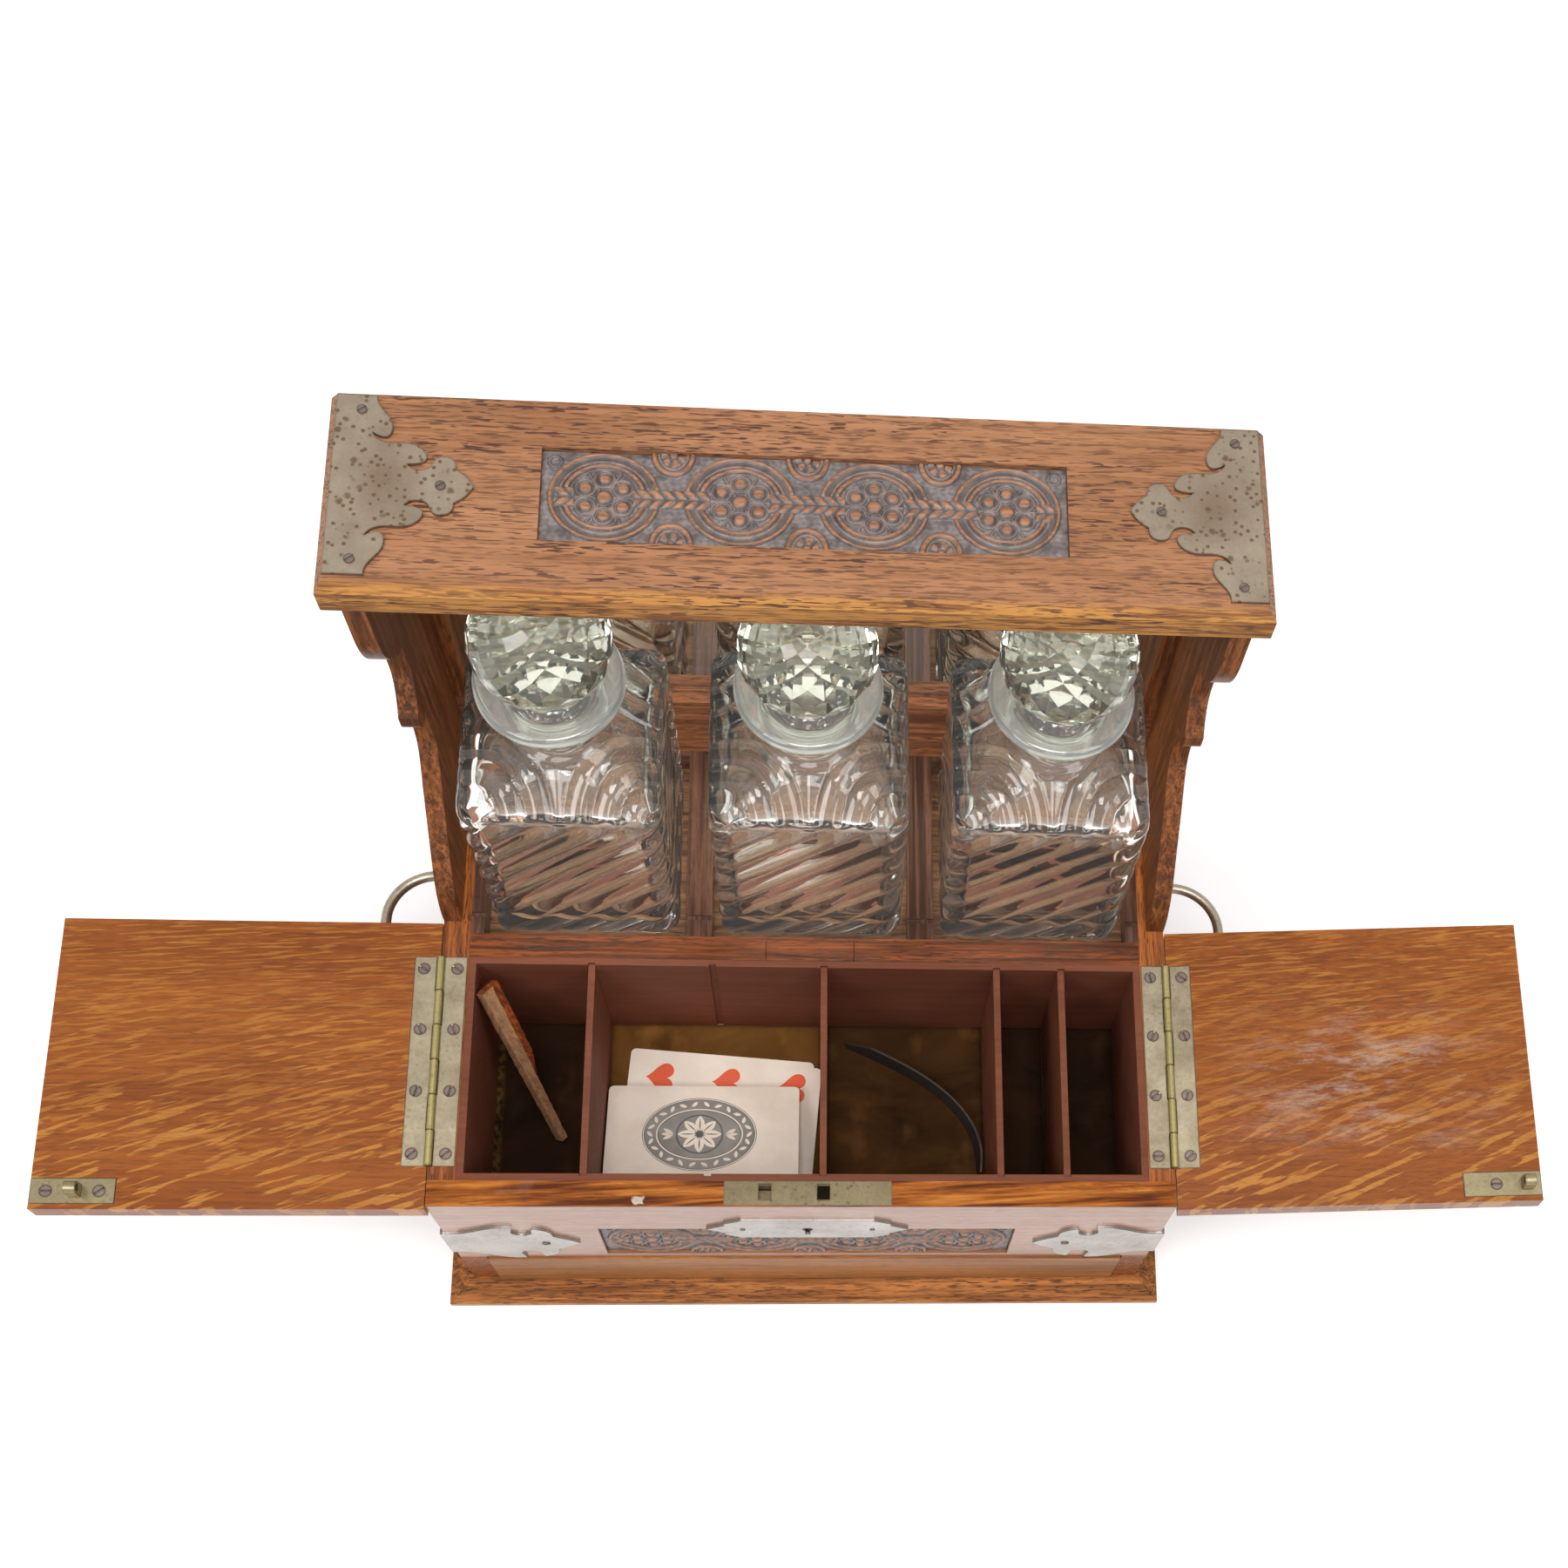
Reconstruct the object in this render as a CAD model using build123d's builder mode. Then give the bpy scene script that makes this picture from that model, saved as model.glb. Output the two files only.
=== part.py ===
"""Oak tantalus: a lidded games box in front, three square decanters under a canopy behind it.

Millimetres. X runs to the right, Y to the back, Z up. The origin is the centre of the case's
footprint on the surface that it stands on. The two lids are modelled open, as they rest.
"""

import os
from math import cos, radians, sin

from build123d import *

# ---------------------------------------------------------------- driving dimensions
# case
case_width = 330.0
case_depth = 240.0
rim_height = 142.0
side_thickness = 12.0
front_thickness = 11.7
back_thickness = 8.0
back_inset = 1.0
base_thickness = 10.0
plinth_overhang = 12.4
plinth_height = 11.0
plinth_edge = 5.0
plinth_round = 1.2
plinth_fillet_flat = 2.5
drawer_zone = 42.0
dust_board_thickness = 6.0
wood_joint = 0.3
mitre_joint = 0.15

# gallery above the rim
decanter_headroom = 15.9
upper_side_thickness = 8.0
scroll_foot_gap = 5.7
ogee_reach = 49.0
nose_reach = 11.0
lobe_reach = 21.5
canopy_thickness = 15.0
canopy_side_overhang = 6.5
canopy_front_overhang = 2.0
canopy_back_overhang = 1.0
canopy_chamfer = 3.0
canopy_round = 2.5

# decanter wells
partition_thickness = 11.3
rail_height = 12.0
rail_block = 40.0
deck_end_strip = 6.0
deck_strip = 12.0
deck_back_strip = 10.0
well_clearance = 2.8
well_front_gap = 6.3
well_back_gap = 2.0
well_depth = 14.0
well_floor_thickness = 6.0
deck_groove_place = 8.2
deck_groove_width = 2.4
deck_groove_depth = 1.6

# gallery back
mirror_thickness = 3.0
mirror_rebate = 3.0
mirror_frame_depth = 10.0
mirror_stile = 7.0
mirror_bottom_rail = 20.0
mirror_top_rail = 9.0
lower_panel_height = 29.0
lower_panel_thickness = 8.0

# games box
liner_thickness = 3.3
liner_drop = 0.3
games_floor_thickness = 7.0
velvet_thickness = 2.0
divider_thickness = 3.0
divider_drop = 1.5
divider_places = (-98.5, 6.5, 86.0, 116.0)
empty_groove_place = -44.3
groove_depth = 1.0
divider_clearance = 0.15

# lids and hinges
lid_thickness = 10.5
lid_rear_lap = 4.5
lid_front_overhang = 1.5
lid_edge_gap = 0.4
lid_meeting_gap = 0.6
hinge_pin_lift = 0.2
hinge_front = 18.0
hinge_rear = 16.4
hinge_leaf_width = 11.4
hinge_leaf_thickness = 1.2
knuckle_radius = 1.75
knuckle_count = 6
knuckle_gap = 0.15
knuckle_relief = 0.3
hinge_pin_radius = 0.9
hinge_pin_clearance = 0.05
right_lid_tilt = 6.0
screw_inset = 7.3
screw_first = 5.7
leaf_screws = 4

# countersunk screws
screw_head_radius = 2.75
screw_shank_radius = 1.2
screw_head_height = 1.2
screw_length = 8.0
screw_slot_width = 0.7
screw_slot_depth = 0.6
screw_clearance = 0.05

# lock, hooks and escutcheon
lock_plate_length = 74.0
lock_plate_thickness = 1.2
lock_plate_front = 0.3
slot_width = 5.6
slot_length = 7.4
left_slot_x = -19.0
right_slot_x = 6.8
lock_width = 68.0
lock_height = 36.8
lock_front = 2.6
lock_back_wood = 1.1
lock_wall = 0.8
bolt_finger = 5.8
bolt_finger_radius = 1.2
bolt_riser = 3.0
bolt_bar_height = 2.5
bolt_clearance = 0.4
hook_plate_length = 35.0
hook_plate_width = 11.2
hook_plate_thickness = 1.2
staple_height = 8.0
staple_length = 4.9
staple_width = 5.6
staple_eye_radius = 1.6
key_x = -0.4
key_drop = 35.0
key_tail_lift = 4.0
keyhole_radius = 2.4
keyhole_slot = 2.2
keyhole_drop = 8.5
key_pin_radius = 1.0
pin_spacing = 59.0
pin_head_radius = 1.2
pin_head_rise = 0.4
pin_shank_radius = 0.6
pin_depth = 2.2

# carved panels
carving_width = 191.0
front_carving_height = 46.0
canopy_carving_depth = 38.8
carving_recess = 2.4
carving_ground = 0.9
carving_relief = 1.0
carving_clearance = 0.2
front_carving_lift = 5.5
canopy_carving_set_back = 1.75
roundel_count = 4
roundel_line = 1.5
petal_count = 6

# metal mounts
mount_thickness = 1.3
canopy_mount_reach = 50.0
canopy_mount_front_margin = 2.9
canopy_mount_back_margin = 1.2
front_mount_lift = 30.5
front_mount_strap = 33.0
front_mount_reach = 59.5
escutcheon_length = 92.0
escutcheon_height = 28.6
mount_screw_radius = 1.9
mount_screw_rise = 0.5
mount_screw_length = 7.0

# carrying handles
handle_radius = 2.4
handle_span = 104.0
handle_reach = 33.6
handle_corner = 23.0
handle_drop = 34.0
rose_radius = 8.0
rose_thickness = 2.0

# decanters
decanter_corner = 9.0
decanter_body = 110.0
shoulder_height = 15.0
shoulder_top = 46.0
neck_radius = 17.0
neck_height = 26.0
collar_radius = 30.0
collar_height = 7.0
glass_wall = 6.0
glass_base = 9.0
bore_radius = 11.0
stopper_clearance = 0.06
plug_length = 22.0
ball_radius = 28.0
ball_height = 52.5
ball_foot_radius = 13.0
seat_gap = 0.3

# drawer
drawer_clearance = 0.8
drawer_proud = 1.2
drawer_front_thickness = 9.0
drawer_wall = 6.0
drawer_bottom_thickness = 3.0
drawer_rear_gap = 10.2

# loose contents
card_width = 89.0
card_height = 63.5
card_corner = 2.5
flat_cards_offset = (2.4, -1.2)
flat_cards_turn = -4.5
flat_cards_thickness = 1.2
pack_side_gap = 2.5
pack_lean = 16.0
pack_thickness = 6.0
strip_width = 10.5
strip_thickness = 4.5
strip_roll = 28.0
strip_foot_inset = 34.0
strip_foot_place = 40.9
strip_foot_lift = 3.1
strip_top_inset = 5.0
strip_top_place = 10.3
strip_top_margin = 3.2
spring_strip_height = 7.0
spring_strip_thickness = 1.0
# shares of its compartment's width and depth, from the left and the front
spring_strip_course = ((0.12, 0.885), (0.52, 0.73), (0.867, 0.49), (0.955, 0.222))

# ---------------------------------------------------------------- places worked out from them
half_width = case_width / 2
front = -case_depth / 2
back = case_depth / 2
inner = half_width - side_thickness
upper_inner = half_width - upper_side_thickness
drawer_top = base_thickness + drawer_zone
dust_top = drawer_top + dust_board_thickness
back_face = back - back_inset - back_thickness
well_width = (2 * inner - 2 * deck_end_strip - 2 * deck_strip) / 3
decanter_pitch = well_width + deck_strip
decanter_size = well_width - 2 * well_clearance
well_length = well_front_gap + decanter_size + well_back_gap
partition_back = back_face - deck_back_strip - well_length
well_floor_top = rim_height - well_depth
games_floor_top = dust_top + games_floor_thickness
velvet_top = games_floor_top + velvet_thickness
liner_front = front + front_thickness
liner_back = partition_back - partition_thickness
liner_inner_front = liner_front + liner_thickness
liner_inner_back = liner_back - liner_thickness
liner_inner = inner - liner_thickness
liner_top = rim_height - liner_drop
pin_z = rim_height + hinge_pin_lift
lid_length = half_width - lid_edge_gap - lid_meeting_gap / 2
lid_bottom = rim_height - lid_thickness
lid_front = front - lid_front_overhang
lid_rear = partition_back + lid_rear_lap
hinge_length = lid_rear - hinge_rear - (front + hinge_front)
screw_pitch = (hinge_length - 2 * screw_first) / (leaf_screws - 1)
lid_closed_face = pin_z + hinge_pin_lift
mirror_front = back_face - mirror_frame_depth
mirror_frame_bottom = rim_height + lower_panel_height
decanter_bottom = well_floor_top + seat_gap
decanter_middle = partition_back + well_front_gap + decanter_size / 2
shoulder_z = decanter_bottom + decanter_body
neck_z = shoulder_z + shoulder_height
collar_z = neck_z + neck_height
collar_top = collar_z + collar_height
ball_bottom = collar_top + seat_gap
ball_top = ball_bottom + ball_height
canopy_bottom = ball_top + decanter_headroom
canopy_top = canopy_bottom + canopy_thickness
scroll_foot = partition_back + scroll_foot_gap
scroll_waist = scroll_foot + ogee_reach
canopy_front = scroll_waist - lobe_reach - canopy_front_overhang
canopy_back = back + canopy_back_overhang
canopy_half = half_width + canopy_side_overhang
canopy_mount_front = canopy_front + canopy_chamfer + canopy_mount_front_margin
canopy_mount_back = canopy_back - canopy_mount_back_margin
canopy_mount_half = (canopy_mount_back - canopy_mount_front) / 2
canopy_mount_centre = canopy_mount_front + canopy_mount_half
canopy_carving_middle = (canopy_front + canopy_back) / 2 + canopy_carving_set_back
front_carving_bottom = drawer_top + front_carving_lift
front_mount_centre = drawer_top + front_mount_lift
handle_height = rim_height - handle_drop
key_z = rim_height - key_drop
lock_thickness = front_thickness - lock_front - lock_back_wood
slot_centre_y = lock_front + lock_thickness / 2
lock_top = rim_height - lock_plate_thickness
lock_bottom = lock_top - lock_height
staple_eye_height = staple_height - staple_width / 2
bolt_z = lid_closed_face - staple_eye_height
staple_tip_z = lid_closed_face - staple_height

os.makedirs("parts", exist_ok=True)


def keep(builder, label):
    """Label a finished piece and write it."""
    builder.part.label = label
    export_step(builder.part, "parts/" + label + ".step")


def slab(x0, x1, y0, y1, z0, z1, mode=Mode.ADD):
    """A board between two corners."""
    with Locations(((x0 + x1) / 2, (y0 + y1) / 2, (z0 + z1) / 2)):
        Box(abs(x1 - x0), abs(y1 - y0), abs(z1 - z0), mode=mode)


# ---------------------------------------------------------------- lower case
def base_board():
    with BuildPart() as board:
        slab(-half_width, half_width, front, back, 0, base_thickness)
    keep(board, "base_board")


def plinth_section(plane):
    """Section of the plinth moulding: flat fillet, slope and rounded edge, x outwards."""
    with BuildSketch(plane) as section:
        with BuildLine():
            Polyline(
                (0, 0),
                (plinth_overhang - plinth_round, 0),
                (plinth_overhang, plinth_round),
                (plinth_overhang, plinth_edge),
                (plinth_fillet_flat, plinth_height),
                (0, plinth_height),
                close=True,
            )
        make_face()
    return section.sketch


def plinth_moulding():
    """Three lengths of moulding, mitred at the two front corners."""
    out = plinth_overhang
    mitre_left = Plane((-half_width, front, 0), x_dir=(0, 0, 1), z_dir=(1, -1, 0))
    mitre_right = Plane((half_width, front, 0), x_dir=(0, 0, 1), z_dir=(1, 1, 0))
    gap = mitre_joint / 2
    left_end = Plane((-half_width - out, front, 0), x_dir=(0, -1, 0), z_dir=(-1, 0, 0))
    left_rear = Plane((-half_width, back, 0), x_dir=(-1, 0, 0), z_dir=(0, 1, 0))
    right_rear = Plane((half_width, back, 0), x_dir=(1, 0, 0), z_dir=(0, -1, 0))
    with BuildPart() as front_length:
        extrude(plinth_section(left_end), amount=-(case_width + 2 * out))
        split(bisect_by=mitre_left.offset(gap), keep=Keep.TOP)
        split(bisect_by=mitre_right.offset(-gap), keep=Keep.BOTTOM)
    with BuildPart() as left_length:
        extrude(plinth_section(left_rear), amount=-(case_depth + out))
        split(bisect_by=mitre_left.offset(-gap), keep=Keep.BOTTOM)
    with BuildPart() as right_length:
        extrude(plinth_section(right_rear), amount=case_depth + out)
        split(bisect_by=mitre_right.offset(gap), keep=Keep.TOP)
    with BuildPart() as moulding:
        add(front_length.part)
        add(left_length.part)
        add(right_length.part)
    keep(moulding, "plinth_moulding")


def pilot_holes(places, z):
    """Holes for the flat screws, down from the face at z."""
    for x, y in places:
        with Locations((x, y, z)):
            Cylinder(
                screw_shank_radius,
                screw_length,
                align=(Align.CENTER, Align.CENTER, Align.MAX),
                mode=Mode.SUBTRACT,
            )


def mount_screw_holes(planes):
    """Holes for the round-headed screws; each plane is the outer face of a mount."""
    for plane in planes:
        with BuildSketch(plane) as hole:
            Circle(screw_shank_radius)
        extrude(hole.sketch, amount=-mount_screw_length, mode=Mode.SUBTRACT)


def canopy_screw_planes():
    """Three screws in each canopy mount."""
    planes = []
    for side in (-1, 1):
        for inset, along in ((0.184, 0.828), (0.77, 0), (0.184, -0.839)):
            x = side * (canopy_half - canopy_chamfer - inset * canopy_mount_reach)
            y = canopy_mount_centre + along * canopy_mount_half
            planes.append(Plane((x, y, canopy_top + mount_thickness), z_dir=(0, 0, 1)))
    return planes


def front_screw_plane(side):
    x = side * (half_width - 0.74 * front_mount_reach)
    place = (x, front - mount_thickness, front_mount_centre)
    return Plane(place, x_dir=(1, 0, 0), z_dir=(0, -1, 0))


def side_screw_plane(side):
    y = front + 0.74 * front_mount_reach
    place = (side * (half_width + mount_thickness), y, front_mount_centre)
    return Plane(place, x_dir=(0, 1, 0), z_dir=(side, 0, 0))


def hinge_recess(side, outwards):
    """Cut the leaf's recess and the knuckle's relief; outwards is +1 in a lid, -1 in the rim."""
    leaf_edge = side * (half_width + outwards * (hinge_leaf_width + wood_joint / 2))
    axis_x = side * half_width
    y0 = front + hinge_front - wood_joint / 2
    y1 = y0 + hinge_length + wood_joint
    slab(axis_x, leaf_edge, y0, y1, rim_height - hinge_leaf_thickness, rim_height, Mode.SUBTRACT)
    reach = knuckle_radius + knuckle_relief
    relief_edge = axis_x + side * outwards * reach
    slab(axis_x, relief_edge, y0, y1, pin_z - reach, rim_height, Mode.SUBTRACT)


def case_side(side, label):
    """Lower side board, notched at the front for the front panel."""
    x0, x1 = sorted((side * inner, side * half_width))
    with BuildPart() as board:
        slab(x0, x1, front, back, base_thickness, rim_height)
        slab(x0, x1, front, liner_front, drawer_top, rim_height, Mode.SUBTRACT)
        hinge_recess(side, -1)
        pilot_holes(leaf_screw_places(side, -1), rim_height)
        mount_screw_holes([side_screw_plane(side)])
    keep(board, label)


def cut_keyhole(y0, y1):
    """Cut a keyhole through from y0 to y1: a round top and a straight slot below it."""
    with BuildSketch(Plane.XZ.offset(-y1)) as hole:
        with Locations((key_x, key_z)):
            Circle(keyhole_radius)
        with Locations((key_x, key_z - keyhole_drop / 2)):
            Rectangle(keyhole_slot, keyhole_drop)
    extrude(hole.sketch, amount=y1 - y0, mode=Mode.SUBTRACT)


def front_panel():
    """Front of the games box, let in for the carving and, from inside, for the lock."""
    carving_half = carving_width / 2
    carving_top = front_carving_bottom + front_carving_height
    plate_half = lock_plate_length / 2
    lock_half = lock_width / 2
    with BuildPart() as panel:
        slab(-half_width, half_width, front, liner_front, drawer_top, rim_height)
        slab(
            -carving_half,
            carving_half,
            front,
            front + carving_recess,
            front_carving_bottom,
            carving_top,
            Mode.SUBTRACT,
        )
        slab(
            -plate_half, plate_half, front + lock_plate_front, liner_front, lock_top, rim_height,
            Mode.SUBTRACT,
        )
        slab(
            -lock_half, lock_half, front + lock_front, liner_front, lock_bottom, lock_top,
            Mode.SUBTRACT,
        )
        cut_keyhole(front, front + lock_front)
        mount_screw_holes([front_screw_plane(-1), front_screw_plane(1)])
        for x in escutcheon_pin_places():
            rod_y(x, key_z, pin_shank_radius, front, front + pin_depth, Mode.SUBTRACT)
    keep(panel, "front_panel")


def dust_board():
    """Board between the drawer and everything above it."""
    with BuildPart() as board:
        slab(-inner, inner, liner_front, back_face, drawer_top, dust_top)
    keep(board, "dust_board")


def case_back():
    with BuildPart() as board:
        slab(-inner, inner, back_face, back_face + back_thickness, base_thickness, rim_height)
    keep(board, "case_back")


def partition_board():
    """Cross board between the games box and the decanters."""
    with BuildPart() as board:
        slab(-inner, inner, liner_back, partition_back, dust_top, rim_height - rail_height)
    keep(board, "partition_board")


def partition_rail():
    """Top rail of the partition, in three lengths with a short block in the middle."""
    block = rail_block / 2
    z0 = rim_height - rail_height
    with BuildPart() as rail:
        slab(-inner, -block - wood_joint, liner_back, partition_back, z0, rim_height)
        slab(-block, block, liner_back, partition_back, z0, rim_height)
        slab(block + wood_joint, inner, liner_back, partition_back, z0, rim_height)
    keep(rail, "partition_rail")


# ---------------------------------------------------------------- decanter wells
def well_edges():
    """Left and right edge of each well."""
    half = well_width / 2
    return [(place * decanter_pitch - half, place * decanter_pitch + half) for place in (-1, 0, 1)]


def deck_frame():
    """Board with a cut-out for each decanter, grooved across its strips at the front."""
    well_back = partition_back + well_length
    groove = partition_back + deck_groove_place
    with BuildPart() as deck:
        slab(-inner, inner, partition_back, back_face, well_floor_top, rim_height)
        slab(
            -inner,
            inner,
            groove,
            groove + deck_groove_width,
            rim_height - deck_groove_depth,
            rim_height,
            Mode.SUBTRACT,
        )
        for x0, x1 in well_edges():
            slab(x0, x1, partition_back, well_back, well_floor_top, rim_height, Mode.SUBTRACT)
    keep(deck, "deck_frame")


def well_floor():
    with BuildPart() as board:
        slab(
            -inner, inner, partition_back, back_face, well_floor_top - well_floor_thickness,
            well_floor_top,
        )
    keep(board, "well_floor")


# ---------------------------------------------------------------- gallery
def scroll_outline():
    """Side of the gallery seen from its end: two scrolled lobes over a long ogee, x is depth."""
    foot, waist = scroll_foot, scroll_waist
    nose, lobe = waist - nose_reach, waist - lobe_reach
    top = canopy_bottom
    ogee_top = (waist, top - 121)
    step = (waist - 4.7, top - 57)
    with BuildLine() as outline:
        Spline(
            (foot, rim_height),
            (foot + 0.43 * (waist - foot), rim_height + 0.49 * (ogee_top[1] - rim_height)),
            (foot + 0.74 * (waist - foot), rim_height + 0.70 * (ogee_top[1] - rim_height)),
            ogee_top,
            tangents=[(0, 1), (0, 1)],
        )
        Polyline(ogee_top, (waist, top - 109), (waist - 4, top - 109))
        ThreePointArc((waist - 4, top - 109), (nose + 2, top - 107), (nose, top - 102))
        Line((nose, top - 102), (nose, top - 97))
        ThreePointArc((nose, top - 97), (waist - 2.9, top - 87.3), (waist, top - 75))
        Polyline((waist, top - 75), (waist, top - 60), step)
        ThreePointArc(step, (lobe + 4.4, top - 40.9), (lobe, top - 21))
        Polyline((lobe, top - 21), (lobe, top), (back, top), (back, rim_height), (foot, rim_height))
    return outline.edges()


def upper_side(side, label):
    with BuildPart() as board:
        with BuildSketch(Plane.YZ.offset(side * upper_inner)):
            make_face(scroll_outline())
        extrude(amount=side * upper_side_thickness)
    keep(board, label)


def upper_back():
    with BuildPart() as board:
        slab(
            -upper_inner, upper_inner, back_face, back_face + back_thickness, rim_height,
            canopy_bottom,
        )
    keep(board, "upper_back")


def lower_back_panel():
    """Oak panel between the deck and the mirror."""
    with BuildPart() as panel:
        slab(
            -upper_inner, upper_inner, back_face - lower_panel_thickness, back_face, rim_height,
            mirror_frame_bottom,
        )
    keep(panel, "lower_back_panel")


def mirror_opening():
    """Sight edges of the mirror frame: half width, bottom and top."""
    return (
        upper_inner - mirror_stile,
        mirror_frame_bottom + mirror_bottom_rail,
        canopy_bottom - mirror_top_rail,
    )


def mirror_frame():
    """Two rails and two stiles round the mirror, rebated behind for the glass."""
    half, low, high = mirror_opening()
    glass_front = back_face - mirror_thickness
    edge = half + mirror_rebate
    rails = (
        (-upper_inner, upper_inner, mirror_frame_bottom, low),
        (-upper_inner, upper_inner, high, canopy_bottom),
    )
    stiles = ((-upper_inner, -half, low, high), (half, upper_inner, low, high))
    for label, pieces in (("mirror_rails", rails), ("mirror_stiles", stiles)):
        with BuildPart() as frame:
            for x0, x1, z0, z1 in pieces:
                slab(x0, x1, mirror_front, back_face, z0, z1)
            slab(
                -edge, edge, glass_front, back_face, low - mirror_rebate, high + mirror_rebate,
                Mode.SUBTRACT,
            )
        keep(frame, label)


def mirror_glass():
    half, low, high = mirror_opening()
    gap = mirror_rebate - wood_joint
    with BuildPart() as glass:
        slab(
            -half - gap, half + gap, back_face - mirror_thickness, back_face, low - gap, high + gap
        )
    keep(glass, "mirror_glass")


def canopy_board():
    """Canopy, with moulded front and end edges and a recess for its carving."""
    carving_front = canopy_carving_middle - canopy_carving_depth / 2
    with BuildPart() as board:
        slab(-canopy_half, canopy_half, canopy_front, canopy_back, canopy_bottom, canopy_top)
        upper = board.edges().filter_by_position(Axis.Z, canopy_top, canopy_top)
        chamfer(upper.sort_by(Axis.Y)[:3], canopy_chamfer)
        lower = board.edges().filter_by_position(Axis.Z, canopy_bottom, canopy_bottom)
        fillet(lower.sort_by(Axis.Y)[:3], canopy_round)
        slab(
            -carving_width / 2,
            carving_width / 2,
            carving_front,
            carving_front + canopy_carving_depth,
            canopy_top - carving_recess,
            canopy_top,
            Mode.SUBTRACT,
        )
        mount_screw_holes(canopy_screw_planes())
    keep(board, "canopy_board")


# ---------------------------------------------------------------- carved panels
def carved_panel(plane, height, label):
    """A ground with a row of roundels in relief; the plane's z points out of the carving."""
    gap = carving_clearance
    pitch = (carving_width - 2 * gap) / roundel_count
    radius = min(pitch, height - 2 * gap) / 2 - gap
    with BuildPart() as panel:
        with BuildSketch(plane):
            Rectangle(carving_width - 2 * gap, height - 2 * gap)
        extrude(amount=carving_ground)
        with BuildSketch(plane.offset(carving_ground)):
            with GridLocations(pitch, 0, roundel_count, 1):
                Circle(radius)
                Circle(radius - roundel_line, mode=Mode.SUBTRACT)
            with GridLocations(pitch, 0, roundel_count, 1):
                Circle(radius * 0.16)
                with PolarLocations(radius * 0.36, petal_count):
                    Circle(radius * 0.16)
        extrude(amount=carving_relief)
    keep(panel, label)


def carvings():
    middle_z = front_carving_bottom + front_carving_height / 2
    front_plane = Plane(
        (0, front + carving_recess, middle_z), x_dir=(1, 0, 0), z_dir=(0, -1, 0)
    )
    carved_panel(front_plane, front_carving_height, "front_carving")
    canopy_plane = Plane((0, canopy_carving_middle, canopy_top - carving_recess))
    carved_panel(canopy_plane, canopy_carving_depth, "canopy_carving")


# ---------------------------------------------------------------- metal mounts
def strapwork_half(sign):
    """One half of the canopy mount, drawn 50 by 37.2 and fitted to its real size."""
    def at(x, y):
        return (x / 50 * canopy_mount_reach, sign * y / 37.2 * canopy_mount_half)

    Line(at(0, 0), at(0, 37.2))
    Line(at(0, 37.2), at(14.3, 37.2))
    Spline(at(14.3, 37.2), at(16.2, 31.5), at(20.2, 25.5), at(19.9, 21), at(13.3, 21.6))
    Spline(at(13.3, 21.6), at(17.5, 17.8), at(23, 17.3), at(29.1, 16.6), at(33, 12.5), at(26.3, 8.6))
    Spline(at(26.3, 8.6), at(30.3, 6.4), at(34.1, 7.4), at(36.6, 11.4), at(40.4, 12), at(43.5, 7))
    Spline(at(43.5, 7), at(47, 4.4), at(50, 0))


def canopy_mounts():
    """A strapwork leaf at each end of the canopy, the full depth of the board."""
    end = canopy_half - canopy_chamfer
    centre = canopy_mount_centre
    solids = []
    for side in (-1, 1):
        plane = Plane((side * end, centre, canopy_top), x_dir=(-side, 0, 0), z_dir=(0, 0, 1))
        with BuildPart() as mount:
            with BuildSketch(plane):
                for sign in (1, -1):
                    with BuildLine():
                        strapwork_half(sign)
                        Line((canopy_mount_reach, 0), (0, 0))
                    make_face()
            extrude(amount=mount_thickness)
        solids += mount.part.solids()
    with BuildPart() as mounts:
        add(solids)
        mount_screw_holes(canopy_screw_planes())
    keep(mounts, "canopy_mounts")


def strap_end_half(sign):
    """Half a corner strap with its notch, lobe and leaf, drawn 59.5 by 16.5 at the foot."""
    def at(x, y):
        return (x / 59.5 * front_mount_reach, sign * y / 33 * front_mount_strap)

    Line(at(0, 0), at(0, 16.5))
    Spline(at(0, 16.5), at(10, 18), at(22, 25.5), at(32, 26.7))
    Line(at(32, 26.7), at(30.5, 19))
    ThreePointArc(at(30.5, 19), at(34.5, 14), at(39.5, 19.5))
    Line(at(39.5, 19.5), at(40.5, 24.5))
    Spline(at(40.5, 24.5), at(46, 21), at(48.5, 11.5))
    Line(at(48.5, 11.5), at(51, 9))
    Spline(at(51, 9), at(55, 5.5), at(59.5, 0))


def front_mounts():
    """A strap round each front corner, with the same leaf on the front and on the side."""
    foot = front_mount_strap / 2
    solids = []
    for side in (-1, 1):
        corner = (side * half_width, front, front_mount_centre)
        front_plane = Plane(corner, x_dir=(-side, 0, 0), z_dir=(0, -1, 0))
        side_plane = Plane(corner, x_dir=(0, 1, 0), z_dir=(side, 0, 0))
        with BuildPart() as mount:
            for plane in (front_plane, side_plane):
                with BuildSketch(plane):
                    for sign in (1, -1):
                        with BuildLine():
                            strap_end_half(sign)
                            Line((front_mount_reach, 0), (0, 0))
                        make_face()
                extrude(amount=mount_thickness)
            x0, x1 = sorted((side * half_width, side * (half_width + mount_thickness)))
            slab(
                x0,
                x1,
                front - mount_thickness,
                front,
                front_mount_centre - foot,
                front_mount_centre + foot,
            )
        solids += mount.part.solids()
    with BuildPart() as mounts:
        add(solids)
        for side in (-1, 1):
            mount_screw_holes([front_screw_plane(side), side_screw_plane(side)])
    keep(mounts, "front_mounts")


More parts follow.
